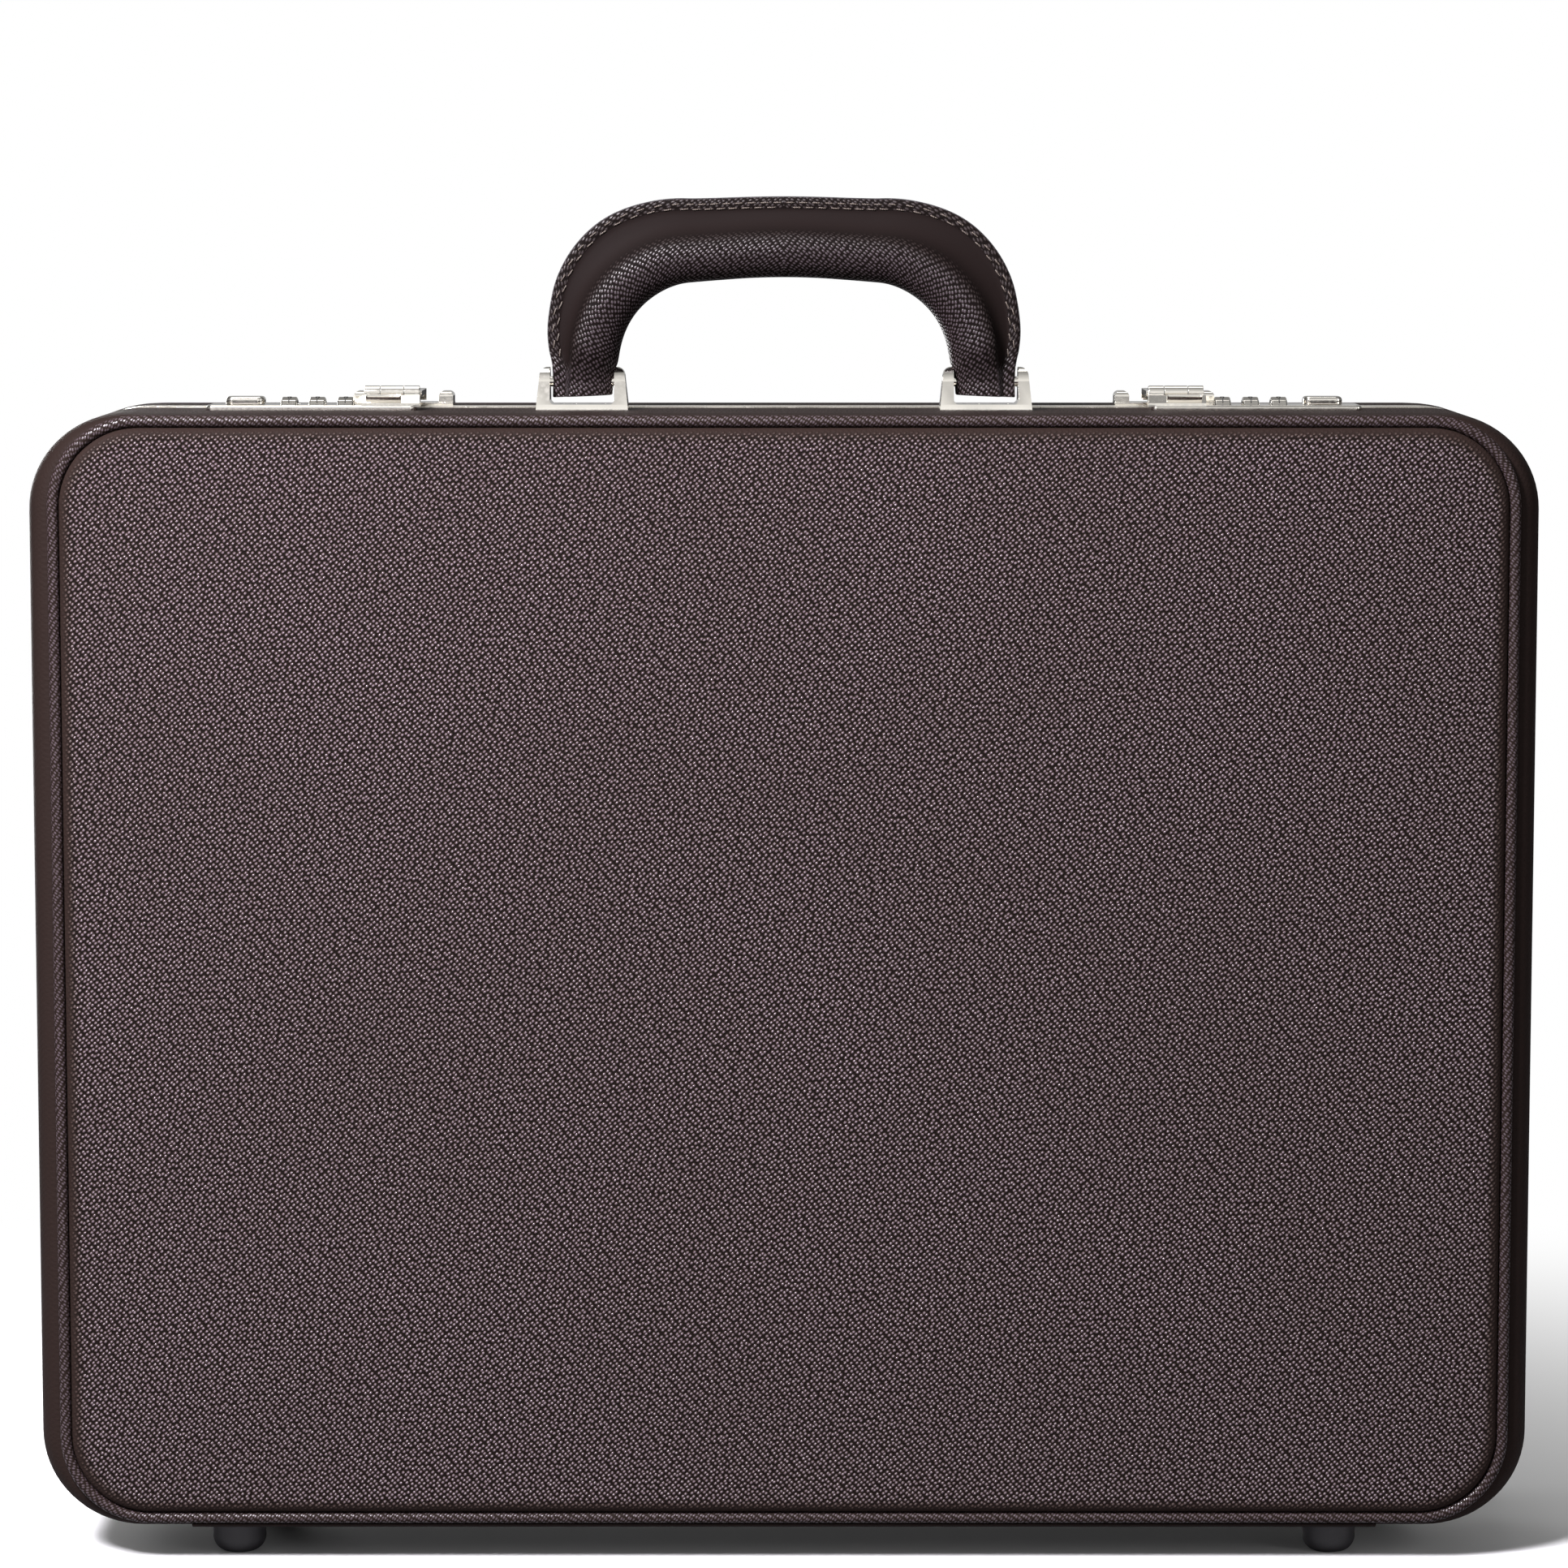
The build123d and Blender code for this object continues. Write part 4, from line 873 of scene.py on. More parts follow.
def side_profile(half, side):
    """Stations from the lip behind the piping to the rim: (y, half width, half height, middle)."""
    low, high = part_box(f"{half}_side_leather")
    pipe_low, pipe_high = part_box(f"{half}_piping")
    front = low.y if side < 0 else high.y
    back = high.y if side < 0 else low.y
    inset_x = HALF_WIDTH - pipe_high.x
    inset_z = HALF_HEIGHT - (pipe_high.z - pipe_low.z) / 2
    lift = (pipe_high.z + pipe_low.z) / 2 - MIDDLE
    depth = sizes().shoulder
    near_x, near_z = HALF_WIDTH - inset_x, HALF_HEIGHT - inset_z
    stations = [(front + side * LIP_PROUD, near_x - LIP, near_z - LIP, MIDDLE + lift)]
    for i in range(9):
        angle = pi / 2 * i / 8
        left = 1 - sin(angle)
        y = front - side * depth * (1 - cos(angle))
        stations.append((y, HALF_WIDTH - inset_x * left, HALF_HEIGHT - inset_z * left, MIDDLE + lift * left))
    turned = stations[-1][0]
    stations += [(turned + (back - turned) * i / 4, HALF_WIDTH, HALF_HEIGHT, MIDDLE) for i in range(1, 5)]
    return stations


def draw_out(piece, stations):
    """Draws an outline out through its stations, towards the seam."""
    with Editing(piece):
        bpy.ops.mesh.select_all(action="SELECT")
        for (y, x, z, middle), (next_y, next_x, next_z, next_middle) in zip(stations, stations[1:]):
            step = (0, next_y - y, next_middle - middle)
            bpy.ops.mesh.extrude_edges_move(TRANSFORM_OT_translate={"value": step})
            growth = (next_x / x, 1, next_z / z)
            bpy.ops.transform.resize(value=growth, center_override=(0, next_y, next_middle))


def fade_grain(piece, front, side):
    """Says how tight the leather is: 0.85 by the piping, falling to 0.45 over the shoulder. Tight leather is
    also painted darker, as shade along the piping.
    """
    depth = sizes().shoulder
    grade = piece.data.attributes.new("tight", "FLOAT", "POINT")
    tight = [0.45 + 0.40 * (1 - ease(side * (front - v.co.y) / depth - 0.2)) for v in piece.data.vertices]
    grade.data.foreach_set("value", tight)


def make_side(half, side):
    """The leather that wraps the tray from the piping to the rim."""
    s = sizes()
    stations = side_profile(half, side)
    y, half_x, half_z, middle = stations[0]
    corner = s.corner - (HALF_WIDTH - stations[1][1]) * 0.5
    skin = outline_loop(f"{half}_side_skin", half_x, half_z, corner, y, middle, 18)
    add_subdivided_edges(skin, 40)
    draw_out(skin, stations)
    recalculate(skin)
    thicken(skin, "Leather", s.leather)
    apply_modifiers(skin)
    unroll(skin, HALF_WIDTH, HALF_HEIGHT, s.corner, MIDDLE, lambda place: place.y)
    fade_grain(skin, stations[0][0], side)
    smooth(skin, 50)
    finished(skin, half, side_leather(), "case_leather", f"{half}_side_leather")


def make_bottom_strip(half, side):
    """The separate strip under the case, lapped over the side leather near each corner."""
    s = sizes()
    low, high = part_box(f"{half}_bottom_leather")
    stations = side_profile(half, side)
    shape = bmesh.new()
    columns = [low.x + (high.x - low.x) * i / 60 for i in range(61)]
    rows = []
    for y, _, half_z, middle in stations[1:]:
        z = middle - half_z - s.strip_proud
        rows.append([shape.verts.new((x, y, z)) for x in columns])
    for near, far in zip(rows, rows[1:]):
        for i in range(len(columns) - 1):
            shape.faces.new((near[i], near[i + 1], far[i + 1], far[i]))
    strip = made_of(shape, f"{half}_bottom_strip")
    recalculate(strip)
    if strip.data.polygons[len(strip.data.polygons) // 2].normal.z > 0:
        strip.data.flip_normals()
    thicken(strip, "Leather", s.leather)
    soften(strip, "Skived edge", 0.4 * MM, 2, 50)
    apply_modifiers(strip)
    unroll(strip, HALF_WIDTH, HALF_HEIGHT, s.corner, MIDDLE, lambda place: place.y)
    fade_grain(strip, stations[0][0], side)
    smooth(strip, 50)
    finished(strip, half, side_leather(), "case_leather", f"{half}_bottom_leather")


class CASE_OT_sides(bpy.types.Operator):
    """Make the leather round the sides and the lapped strips under the case"""

    bl_idname = "case.sides"
    bl_label = "Side leather"

    def execute(self, context):
        for half, side in HALVES.items():
            make_side(half, side)
            make_bottom_strip(half, side)
        return {"FINISHED"}


# ---- handle ----


def rounded(points, radii, steps=40):
    """A path through points, with its corners rounded off."""
    path = [points[0]]
    for before, corner, after, radius in zip(points, points[1:], points[2:], radii):
        back, ahead = (before - corner).normalized(), (after - corner).normalized()
        half = back.angle(ahead) / 2
        centre = corner + (back + ahead).normalized() * radius / sin(half)
        first, last = corner + back * radius / tan(half), corner + ahead * radius / tan(half)
        for i in range(steps + 1):
            spoke = (first - centre).lerp(last - centre, i / steps)
            path.append(centre + spoke.normalized() * radius)
    path.append(points[-1])
    return path


# Distance from the roll's middle to the welt's edge, and to the inside of the handle, at distances
# in millimetres past the place where the leg runs into the bend.
WELT_EDGE = (
    (-13.5, 9.2), (-8.5, 9.5), (-4.2, 10.1), (-0.6, 11.2), (4.2, 12.8), (9.5, 14.3), (16.5, 16.6),
    (24.2, 18.3), (31.6, 18.9), (41.7, 17.9), (52.0, 16.8), (76.0, 16.0),
)
GRIP_INSIDE = (
    (-13.5, 9.3), (-4.2, 9.3), (-2.0, 9.9), (1.0, 10.2), (8.0, 10.2), (20.0, 9.8), (32.0, 9.4), (47.0, 8.8),
    (76.0, 8.8),
)
CROWN_BEND = 200 * MM  # radius of the bow over the fingers
ROLL_TURN = radians(118)  # how far round its middle the roll goes on each side, before the valley
ROLL_STEPS = 14  # faces round that part of the roll
FOOT_FLAT = 0.52  # thickness of the roll at its foot, as a share of its width
FOOT_SLANT = 0.13  # slope of the cut across the foot of each leg
WELT_GROWS = 7 * MM  # length of leg over which the welt grows out of the roll
GRIP_RINGS = 150  # sections along half of the handle
STITCH_ROWS = ((1.9 * MM, 0.0), (3.4 * MM, 0.5))  # distance in from the welt's edge, stitches of offset
# The smooth valley between the roll and the sewn band: share of its width, share of the roll's height
# that is left there, and how far the grain is stretched out of the leather, which also paints it darker as
# shade.
VALLEY = ((0.12, 0.74, 0.55), (0.27, 0.48, 0.85), (0.45, 0.24, 1), (0.65, 0.09, 1), (0.85, 0.015, 1))


def between(stations, place):
    """The smooth value at a place between stations."""
    last = len(stations) - 1
    if place <= stations[0][0] or place >= stations[last][0]:
        return stations[0 if place <= stations[0][0] else last][1]
    index = next(i for i in range(last) if stations[i + 1][0] > place)

    def slope(i):
        if i in (0, last):
            return 0.0
        return (stations[i + 1][1] - stations[i - 1][1]) / (stations[i + 1][0] - stations[i - 1][0])

    (start, low), (end, high) = stations[index], stations[index + 1]
    width = end - start
    t = (place - start) / width
    bend_in, bend_out = slope(index) * width, slope(index + 1) * width
    square = 3 * (high - low) - 2 * bend_in - bend_out
    cube = 2 * (low - high) + bend_in + bend_out
    return low + t * (bend_in + t * (square + t * cube))


class Grip:
    """The handle's right half, from its foot to X = 0, with the section at each distance along it."""

    def __init__(self):
        s = sizes()
        top = PIN_Z + s.grip_rise
        corner = Vector((s.grip_leg - s.grip_lean, top - s.grip_crown))
        foot = Vector((s.grip_leg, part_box("handle_leather")[0].z))
        far = Vector((-corner.x, corner.y))
        path = rounded([foot, corner, Vector((0, top)), far], [s.grip_bend, CROWN_BEND])
        self.places = [place for place in path if place.x > 1e-6]
        last = self.places[-1]
        self.places.append(Vector((0, last.y + last.x * 0.5 * last.x / CROWN_BEND)))
        self.marks = [0.0]
        for here, there in zip(self.places, self.places[1:]):
            self.marks.append(self.marks[-1] + (there - here).length)
        self.total = self.marks[-1]
        self.leg = self.marks[1]

    def at(self, distance):
        """Place on the middle line and outward direction, in X and Z."""
        last = len(self.marks) - 2
        index = next((i for i in range(last) if self.marks[i + 1] > distance), last)
        share = (distance - self.marks[index]) / (self.marks[index + 1] - self.marks[index])
        place = self.places[index].lerp(self.places[index + 1], share)
        ends = []
        for i in (index, index + 1):
            before, after = self.places[max(i - 1, 0)], self.places[min(i + 1, last + 1)]
            ends.append((after - before).normalized())
        if index == 0:
            ends[1] = ends[0]
        along = ends[0].lerp(ends[1], share).normalized()
        if distance >= self.total - 1e-9:
            along = Vector((-1, 0))
        return place, Vector((along.y, -along.x))

    def reach(self, distance):
        """Distance from the middle line to the welt's edge."""
        return between(WELT_EDGE, (distance - self.leg) / MM) * MM

    def section(self, distance):
        """(outward, sideways, tightness) round the roll and its welt, from the inside of the handle."""
        s = sizes()
        height = self.at(distance)[0].y - PIN_Z
        grown = ease((distance - self.leg + WELT_GROWS) / WELT_GROWS)
        flat = FOOT_FLAT + (1 - FOOT_FLAT) * ease((height + 1 * MM) / (13 * MM))
        reach, radius, half_welt = self.reach(distance), s.grip_radius, s.welt_thickness / 2
        inner = between(GRIP_INSIDE, (distance - self.leg) / MM) * MM
        half = []
        for i in range(ROLL_STEPS + 1):
            angle = pi - ROLL_TURN * i / ROLL_STEPS
            out = inner if angle > pi / 2 else radius
            tight = 0.12 * max(i - ROLL_STEPS + 3, 0) * grown
            half.append((out * cos(angle), radius * flat * sin(angle), tight))
        start_x, start_y, _ = half[-1]
        band = max(reach - s.welt_band, start_x + 1.2 * MM)
        for share, sag, tight in VALLEY:
            out = start_x + (band - start_x) * share
            up = half_welt + (start_y - half_welt) * (sag * grown + (1 - grown) * (1 - share**2))
            half.append((out, up, tight * grown))
        blunt = half_welt + (1 - grown) * (radius * flat * 0.45 - half_welt)
        face = max(blunt, half_welt)
        half += [
            (band, face - 0.2 * MM * grown, grown),
            (band + 0.4 * MM, face, 0.3 * grown),
            (reach - 1.2 * MM, face, 0.3 * grown),
            (reach - 0.3 * MM, blunt * 0.86, 0.3 * grown),
        ]
        tip = [(reach, blunt * 0.45, 0.0), (reach, -blunt * 0.45, 0.0)]
        lower = [(out, -up, tight) for out, up, tight in reversed(half[1:])]
        return half + tip + lower


def make_grip(grip):
    """The handle's leather: one half is drawn along its path, then mirrored."""
    shape = bmesh.new()
    tightness = shape.verts.layers.float.new("tight")
    marks = [grip.total * step / GRIP_RINGS for step in range(GRIP_RINGS + 1)]
    rings = []
    for distance in marks:
        place, out = grip.at(distance)
        slant = FOOT_SLANT * (1 - ease(distance / (12 * MM)))
        ring = []
        for outward, sideways, tight in grip.section(distance):
            x, z = place.x + out.x * outward, place.y + out.y * outward - slant * outward
            vertex = shape.verts.new((x, PIN_Y + sideways, z))
            vertex[tightness] = tight
            ring.append(vertex)
        rings.append(ring)
    section = grip.section(grip.total)
    girths = [0.0]
    for a, b in zip(section, section[1:] + section[:1]):
        girths.append(girths[-1] + hypot(b[0] - a[0], b[1] - a[1]))
    grain = shape.loops.layers.uv.new("Grain")
    count = len(section)
    tip = range(count // 2 - 1, count // 2 + 2)  # the welt's cut edge
    for step in range(GRIP_RINGS):
        for i in range(count):
            near, far, after = rings[step], rings[step + 1], (i + 1) % count
            face = shape.faces.new((near[i], near[after], far[after], far[i]))
            face.material_index = 1 if i in tip else 0
            places = (
                (marks[step], girths[i]),
                (marks[step], girths[i + 1]),
                (marks[step + 1], girths[i + 1]),
                (marks[step + 1], girths[i]),
            )
            for loop, place in zip(face.loops, places):
                loop[grain].uv = place
    shape.faces.new(list(reversed(rings[0])))
    piece = made_of(shape, "handle_grip")
    mirror = piece.modifiers.new("Other half", "MIRROR")
    mirror.use_clip = True
    mirror.merge_threshold = 0.1 * MM
    soften(piece, "Soft ends", 0.9 * MM, 3, 62)
    apply_modifiers(piece)
    recalculate(piece)
    smooth(piece, 60)
    inked = [face.index for face in piece.data.polygons if face.material_index == 1]
    finished(piece, "handle", grip_leather(), "grip_leather", "handle_leather", "handle_padding")
    piece.data.materials.append(welt_edge())
    for index in inked:
        piece.data.polygons[index].material_index = 1


def make_stitches(grip):
    """Two rows of stitches on each face of the welt."""
    s = sizes()
    deselect()
    bpy.ops.mesh.primitive_cylinder_add(vertices=6, radius=0.22 * MM, depth=s.stitch * 0.60)
    stitch = named("stitch_pattern")
    with Editing(stitch) as edit:
        edit.pick("faces", lambda face: len(face.verts) == 6)
        bpy.ops.mesh.inset(thickness=0.12 * MM, depth=0.12 * MM)
    pattern = stitch.data.copy()
    bpy.data.objects.remove(stitch)
    shape = bmesh.new()
    count = int((grip.total - grip.leg + 2 * MM) / s.stitch)
    height = s.welt_thickness / 2 + 0.08 * MM
    for (from_edge, phase), face, half, i in product(STITCH_ROWS, (-1, 1), (-1, 1), range(count)):
        distance = grip.total - (i + 0.5 + phase) * s.stitch
        place, out = grip.at(distance)
        offset = grip.reach(distance) - from_edge
        spot = (half * (place.x + out.x * offset), PIN_Y + face * height, place.y + out.y * offset)
        turn = Matrix.Rotation(half * atan2(out.x, out.y) + pi / 2, 4, "Y")
        known = len(shape.verts)
        shape.from_mesh(pattern)
        shape.verts.ensure_lookup_table()
        bmesh.ops.transform(shape, matrix=Matrix.Translation(spot) @ turn, verts=shape.verts[known:])
    stitches = made_of(shape, "handle_stitches")
    smooth(stitches, 60)
    finished(stitches, "handle", thread(), "grip_leather")


class CASE_OT_handle(bpy.types.Operator):
    """Make the handle's leather roll, its welt and its stitching"""

    bl_idname = "case.handle"
    bl_label = "Handle"

    def execute(self, context):
        grip = Grip()
        make_grip(grip)
        make_stitches(grip)
        paint("handle_core", steel())
        refine("handle_pins", nickel(), 0.3 * MM)
        return {"FINISHED"}


# ---- brackets, locks, keepers and dials ----


class CASE_OT_brackets(bpy.types.Operator):
    """Finish the handle's brackets and their rivets"""

    bl_idname = "case.brackets"
    bl_label = "Handle brackets"

    def execute(self, context):
        for hand in HANDS:
            refine(f"handle_bracket_{hand}", nickel(), 0.5 * MM)
        refine("bracket_rivets", nickel(), 0.35 * MM)
        paint("backing_plates", steel())
        return {"FINISHED"}


def make_tab(hand, side):
    """The framed thumb tab on the sloping front of a hasp's housing."""
    low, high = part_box(f"hasp_{hand}")
    place = ((low.x + high.x) / 2 + side * 2.2 * MM, low.y - 5.0 * MM, high.z - 3.7 * MM)
    deselect()
    bpy.ops.mesh.primitive_cube_add(size=1, location=place, rotation=(radians(45), 0, 0))
    tab = named(f"lock_tab_{hand}")
    tab.scale = (10.8 * MM, 1.2 * MM, 2.6 * MM)
    settle(tab)
    with Editing(tab) as edit:
        edit.pick("faces", lambda f: f.normal.y < -0.6 and f.normal.z > 0.6)
        bpy.ops.mesh.inset(thickness=0.5 * MM)
        bpy.ops.transform.translate(value=(0, 0.3 * MM, -0.3 * MM))
    soften(tab, "Soft edges", 0.16 * MM, 2, 30)
    apply_modifiers(tab)
    smooth(tab, 40)
    finished(tab, "body", nickel(), "bright_metal")


def make_springs():
    """The springs behind the release buttons, split into one piece for each button, with a mesh of its own.
    """
    # Both copies come first: once a piece stands for the node, the node is hidden and can't be copied.
    springs = {hand: copy_of("button_springs", f"button_spring_{hand}") for hand in HANDS}
    for hand, side in HANDS.items():
        spring = springs[hand]
        with Editing(spring) as edit:
            edit.pick("verts", lambda vertex: side * vertex.co.x < 0)
            bpy.ops.mesh.delete(type="VERT")
        recalculate(spring)
        finished(spring, "body", steel(), slot_of("button_springs"), "button_springs")
        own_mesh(spring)


class CASE_OT_locks(bpy.types.Operator):
    """Finish the lock plates, hasps, buttons and keepers"""

    bl_idname = "case.locks"
    bl_label = "Locks"

    def execute(self, context):
        for hand, side in HANDS.items():
            make_tab(hand, side)
            refine(f"lock_plate_{hand}", nickel(), 0.22 * MM, 2)
            refine(f"hasp_{hand}", nickel(), 0.3 * MM)
            refine(f"release_button_{hand}", nickel(), 0.2 * MM, 2)
        make_springs()
        refine("keepers", nickel(), 0.3 * MM)
        refine("keeper_rivets", nickel(), 0.1 * MM, 2)
        for node in ("lock_cases", "dial_axles", "hasp_pins"):
            paint(node, steel())
        return {"FINISHED"}


def make_numerals(node):
    """Plain numerals round a number wheel, one on each flat."""
    low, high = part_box(node)
    middle = (low + high) / 2
    flat = (high.z - low.z) / 2
    pieces = []
    for digit in range(10):
        deselect()
        bpy.ops.object.text_add(location=(0, 0, 0))
        numeral = bpy.context.object
        numeral.data.body = str(digit)
        numeral.data.size = 3.1 * MM
        numeral.data.extrude = 0.03 * MM
        numeral.data.align_x = "CENTER"
        numeral.data.align_y = "CENTER"
        numeral.data.resolution_u = 3
        bpy.ops.object.convert(target="MESH")
        numeral = bpy.context.object
        lift = Matrix.Translation((0, 0, flat - 0.01 * MM))
        turn = Matrix.Rotation(radians(36 * digit), 4, "X")
        numeral.data.transform(Matrix.Translation(middle) @ turn @ lift)
        numeral.matrix_world = Matrix.Identity(4)
        pieces.append(numeral)
    deselect()
    for piece in pieces:
        piece.select_set(True)
    bpy.context.view_layer.objects.active = pieces[0]
    bpy.ops.object.join()
    numerals = named(node + "_numerals")
    finished(numerals, body_of(node), ink(), slot_of(node))


class CASE_OT_dials(bpy.types.Operator):
    """Finish the number wheels and paint their numerals"""

    bl_idname = "case.dials"
    bl_label = "Number wheels"

    def execute(self, context):
        for hand, number in product(HANDS, (1, 2, 3)):
            refine(f"dial_{hand}_{number}", nickel(), 0.22 * MM, 3, 20)
            make_numerals(f"dial_{hand}_{number}")
        return {"FINISHED"}


# ---- rims, hinge, feet and stays ----


class CASE_OT_metalwork(bpy.types.Operator):
    """Finish the rims, the hinge and the lid stays"""

    bl_idname = "case.metalwork"
    bl_label = "Rims, hinge and stays"

    def execute(self, context):
        for half in HALVES:
            refine(f"{half}_rim", rim_metal(), 0.3 * MM, 2)
            refine(f"hinge_leaf_{half}", steel(), 0.15 * MM, 2)
            paint(f"stay_studs_{half}", nickel())
        paint("hinge_pin", steel())
        for hand, half in product(HANDS, HALVES):
            refine(f"stay_link_{half}_{hand}", nickel(), 0.2 * MM, 2)
        return {"FINISHED"}


class CASE_OT_feet(bpy.types.Operator):
    """Finish the feet and their screws"""

    bl_idname = "case.feet"
    bl_label = "Feet"

    def execute(self, context):
        for half in HALVES:
            refine(f"{half}_feet", rubber(), 0.6 * MM, 3, 35)
            refine(f"{half}_foot_screws", steel(), 0.2 * MM, 2)
        return {"FINISHED"}


# ---- inside ----


CLOTH = 0.9 * MM  # thickness of the lining


def make_lining(half, side):
    """The lining cloth: a tray of its own, open towards the seam."""
    low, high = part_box(f"{half}_lining")
    floor = low.y if side < 0 else high.y
    edge = high.y if side < 0 else low.y
    s = sizes()
    half_x, half_z = high.x, (high.z - low.z) / 2
    corner = s.corner - (HALF_WIDTH - half_x)
    deselect()
    bpy.ops.mesh.primitive_plane_add(size=2, location=(0, edge, MIDDLE), rotation=(pi / 2, 0, 0))
    cloth = named(f"{half}_lining_cloth")
    cloth.scale = (half_x - CLOTH, half_z - CLOTH, 1)
    settle(cloth)
    with Editing(cloth) as edit:
        bpy.ops.mesh.select_all(action="SELECT")
        bpy.ops.mesh.bevel(affect="VERTICES", offset=corner - CLOTH, segments=12)
        edit.pick("faces", lambda face: True)
        bpy.ops.mesh.extrude_region_move(
            TRANSFORM_OT_translate={"value": (0, floor - edge + side * CLOTH, 0)}
        )
    with Editing(cloth) as edit:
        edit.pick("faces", lambda face: abs(face.calc_center_median().y - edge) < 1e-5)
        bpy.ops.mesh.delete(type="ONLY_FACE")
    recalculate(cloth)
    with Editing(cloth):
        bpy.ops.mesh.select_all(action="SELECT")
        bpy.ops.mesh.flip_normals()
    thicken(cloth, "Cloth", CLOTH)
    apply_modifiers(cloth)
    smooth(cloth, 40)
    finished(cloth, half, lining_cloth(), "lining", f"{half}_lining")


class CASE_OT_linings(bpy.types.Operator):
    """Make the lining cloth in both trays"""

    bl_idname = "case.linings"
    bl_label = "Linings"

    def execute(self, context):
        for half, side in HALVES.items():
            make_lining(half, side)
            paint(f"{half}_board", birch())
        return {"FINISHED"}


class CASE_OT_organiser(bpy.types.Operator):
    """Make the document organiser in the lid"""

    bl_idname = "case.organiser"
    bl_label = "Organiser"

    def execute(self, context):
        for node in ("organiser_panel", "card_pockets", "phone_pocket", "document_pocket_gusset"):
            refine(node, smooth_leather(), 0.4 * MM)
        refine("pen_loops", elastic(), 0.3 * MM, 2)
        return {"FINISHED"}


# ---- stage ----


AIM = Vector((0, 0, 0.25))  # where the lights point, a little above the middle of the case


def area_light(name, place, size, power, tone=(1, 1, 1)):
    """A rectangular lamp that points at the case."""
    deselect()
    bpy.ops.object.light_add(type="AREA", location=place)
    light = named(name)
    light.data.shape = "RECTANGLE"
    light.data.size, light.data.size_y = size
    light.data.energy = power
    light.data.color = tone
    light.visible_camera = False
    light.rotation_euler = (AIM - Vector(place)).to_track_quat("-Z", "Y").to_euler()


def pale_floor():
    """A pale floor that fades into the white backdrop, and throws little light back at the case."""
    nodes = Nodes("Pale floor")
    place = nodes.places()
    path = nodes.add("ShaderNodeLightPath").outputs["Is Camera Ray"]
    haze = nodes.mix(nodes.noise(place, 3.0), (0.88, 0.88, 0.88), (0.93, 0.93, 0.93))
    nodes.finish(colour=nodes.mix(path, (0.28, 0.28, 0.29), haze), roughness=0.9, specular=0.2)
    far = nodes.add("ShaderNodeVectorMath", {0: place}, operation="LENGTH").outputs["Value"]
    fade = nodes.math("MULTIPLY", nodes.spread(far, 0.20, 0.60), path)
    glow = nodes.add("ShaderNodeEmission", {"Color": (1, 1, 1, 1), "Strength": 1.0}).outputs[0]
    blend = nodes.add("ShaderNodeMixShader", {0: fade, 1: nodes.shader.outputs[0], 2: glow}).outputs[0]
    nodes.put(nodes.tree.nodes["Material Output"].inputs["Surface"], blend)
    return nodes.material


def light_studio(tree):
    """A white studio: brighter behind the camera and low down, and plain white to the camera."""
    sky = Tree(tree)
    path = sky.add("ShaderNodeLightPath").outputs
    way = sky.add("ShaderNodeSeparateXYZ", {0: sky.places("Generated")}).outputs
    overhead = sky.ramp(way["Z"], 0.0, 0.9, 1.0, 0.38)
    level = sky.math("MULTIPLY", overhead, sky.ramp(way["Y"], -0.5, 0.6, 0.33, 0.13))
    screens = sky.ramp(sky.math("ABSOLUTE", way["X"]), 0.30, 0.80, 3.3, 0.9)
    gleam = sky.math("MULTIPLY", level, sky.ramp(path["Is Glossy Ray"], 0.0, 1.0, 1.0, screens))
    seen = sky.add("ShaderNodeMix", {0: path["Is Camera Ray"], 2: gleam, 3: 1.0}).outputs[0]
    background = tree.nodes["Background"]
    sky.put(background.inputs["Color"], (1, 1, 1, 1))
    sky.put(background.inputs["Strength"], seen)


def make_floor():
    """The floor that the case stands on."""
    deselect()
    bpy.ops.mesh.primitive_plane_add(size=30, location=(0, 0, 0))
    floor = named("floor")
    with Editing(floor):
        bpy.ops.mesh.select_all(action="SELECT")
        bpy.ops.mesh.subdivide(number_cuts=8)
    floor.data.materials.append(pale_floor())


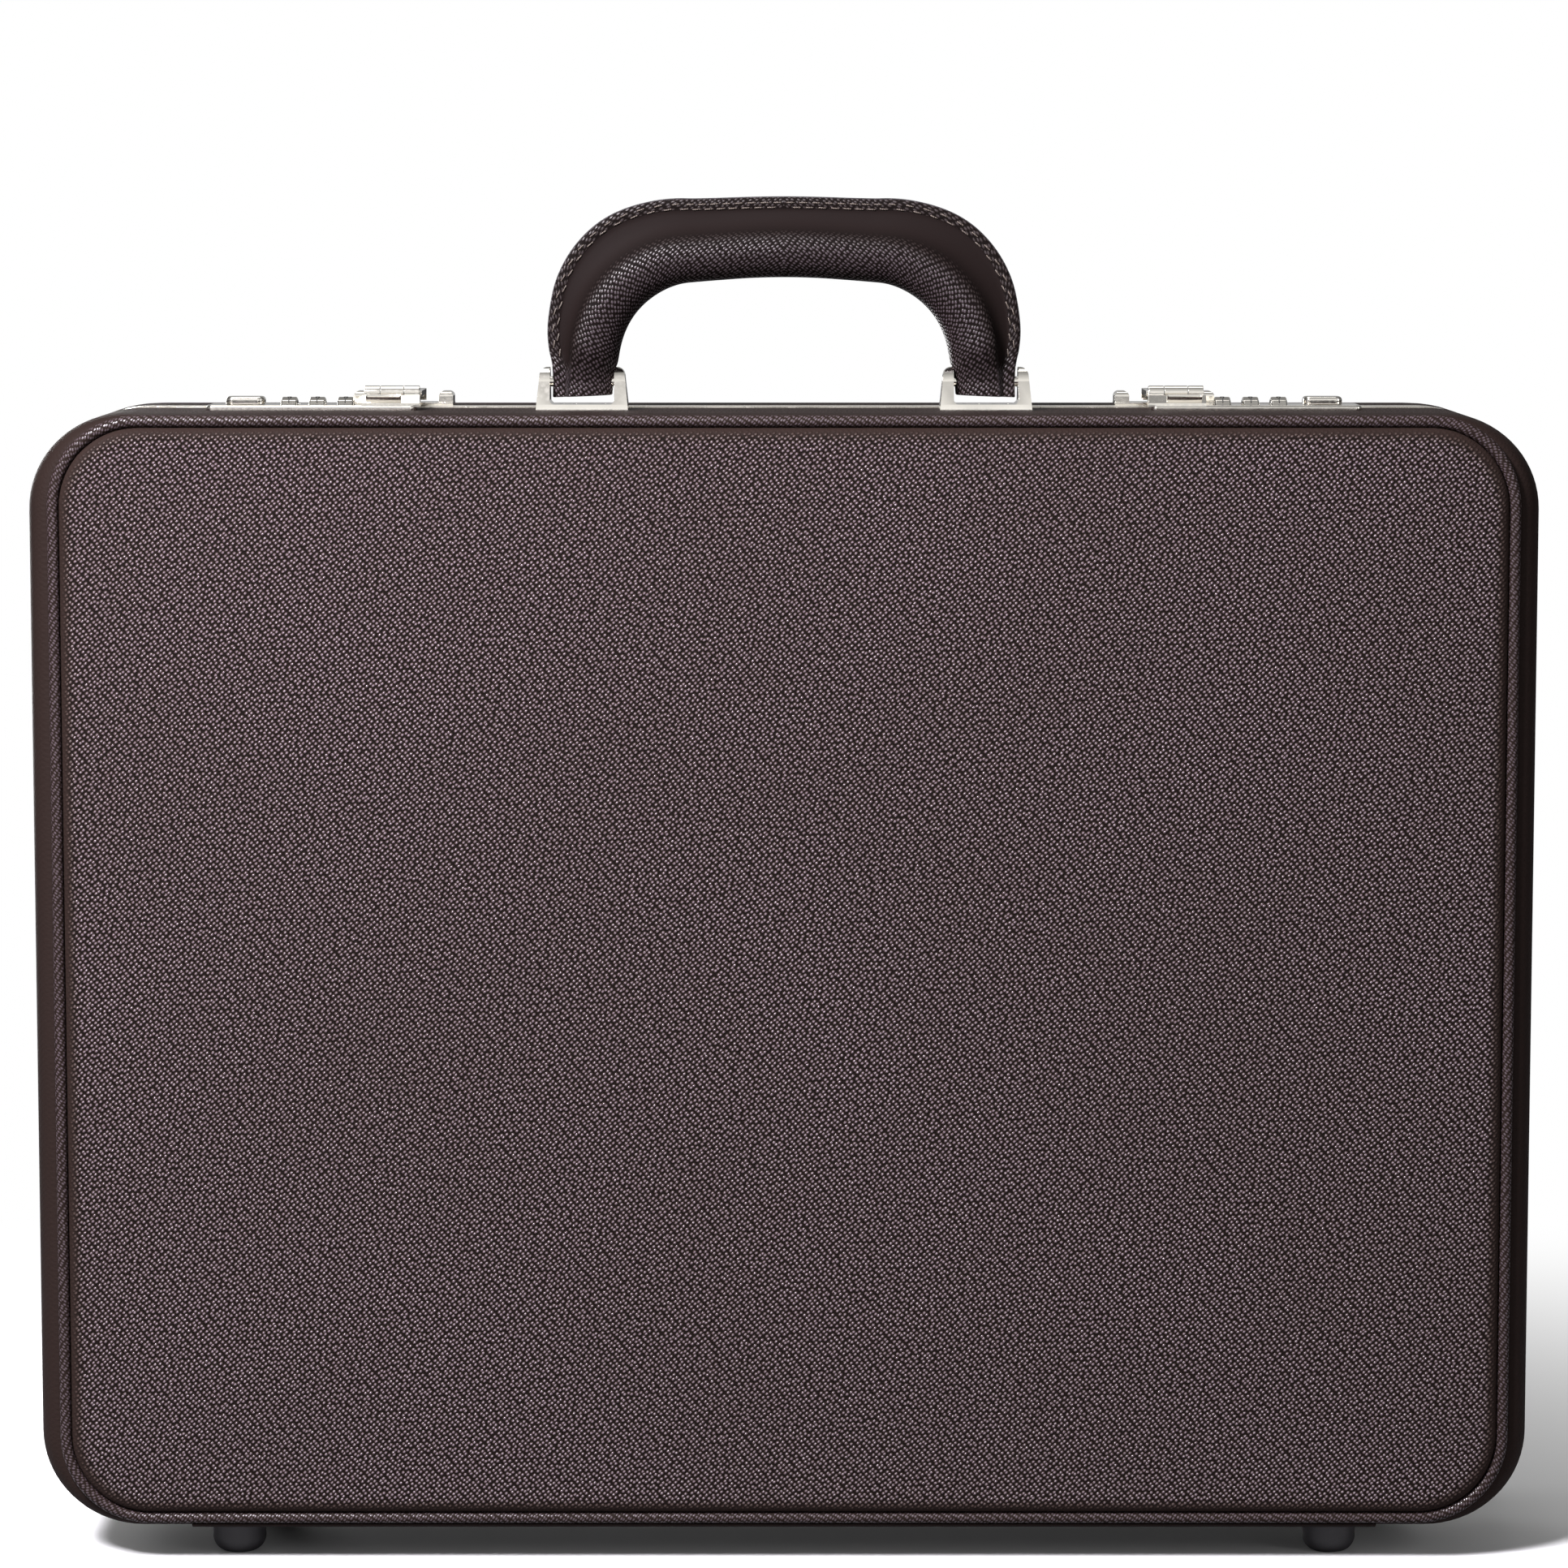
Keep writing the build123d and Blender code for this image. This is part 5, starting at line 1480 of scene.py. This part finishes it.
class CASE_OT_stage(bpy.types.Operator):
    """Set the floor, the lights and the camera"""

    bl_idname = "case.stage"
    bl_label = "Stage"

    camera_distance: FloatProperty(name="Camera distance", description="From the front panel", default=1.6347)
    camera_height: FloatProperty(name="Camera height", description="Above the floor", default=0.4232)
    camera_tilt: FloatProperty(name="Camera tilt", description="Below the horizon, in degrees", default=6.3)
    camera_lens: FloatProperty(name="Lens", description="Focal length in millimetres", default=124.4)

    def execute(self, context):
        make_floor()
        scene = context.scene
        scene.world = bpy.data.worlds.new("Studio")
        scene.world.use_nodes = True
        light_studio(scene.world.node_tree)
        area_light("key", (-0.58, -0.95, 1.10), (0.32, 0.32), 59, (0.97, 0.95, 1.0))
        area_light("fill", (1.6, -1.1, 0.8), (0.5, 0.9), 6)
        area_light("top", (-0.2, 0.2, 1.9), (1.2, 0.8), 6.5)
        area_light("back", (-0.7, 1.5, 0.30), (0.6, 0.6), 15)
        scene.view_settings.view_transform = "Standard"
        deselect()
        bpy.ops.object.camera_add(
            location=(0, CAD_BOX[0].y - self.camera_distance, self.camera_height),
            rotation=(radians(90 - self.camera_tilt), 0, 0),
        )
        camera = named("camera")
        camera.data.lens = self.camera_lens
        camera.data.sensor_width = 36
        camera.data.clip_end = 100
        scene.camera = camera
        return {"FINISHED"}


# ---- add-on ----


class CASE_PT_panel(bpy.types.Panel):
    """Lists the case's pieces, sizes and colours"""

    bl_label = "Leather attache case"
    bl_idname = "CASE_PT_panel"
    bl_space_type = "VIEW_3D"
    bl_region_type = "UI"
    bl_category = "Case"

    def draw(self, context):
        for settings in (context.scene.case_sizes, context.scene.case_colours):
            box = self.layout.box()
            for key in settings.__annotations__:
                box.prop(settings, key)
        for operator in OPERATORS:
            self.layout.operator(operator.bl_idname)


OPERATORS = (
    CASE_OT_stage,
    CASE_OT_panels,
    CASE_OT_piping,
    CASE_OT_sides,
    CASE_OT_handle,
    CASE_OT_brackets,
    CASE_OT_locks,
    CASE_OT_dials,
    CASE_OT_metalwork,
    CASE_OT_feet,
    CASE_OT_linings,
    CASE_OT_organiser,
)
CLASSES = (CaseSizes, CaseColours, *OPERATORS, CASE_PT_panel)


def register():
    for cls in CLASSES:
        bpy.utils.register_class(cls)
    bpy.types.Scene.case_sizes = PointerProperty(type=CaseSizes)
    bpy.types.Scene.case_colours = PointerProperty(type=CaseColours)


def unregister():
    del bpy.types.Scene.case_colours
    del bpy.types.Scene.case_sizes
    for cls in reversed(CLASSES):
        bpy.utils.unregister_class(cls)


def main():
    register()
    for operator in OPERATORS:
        group, name = operator.bl_idname.split(".")
        getattr(getattr(bpy.ops, group), name)()
    deselect()


if __name__ == "__main__":
    main()
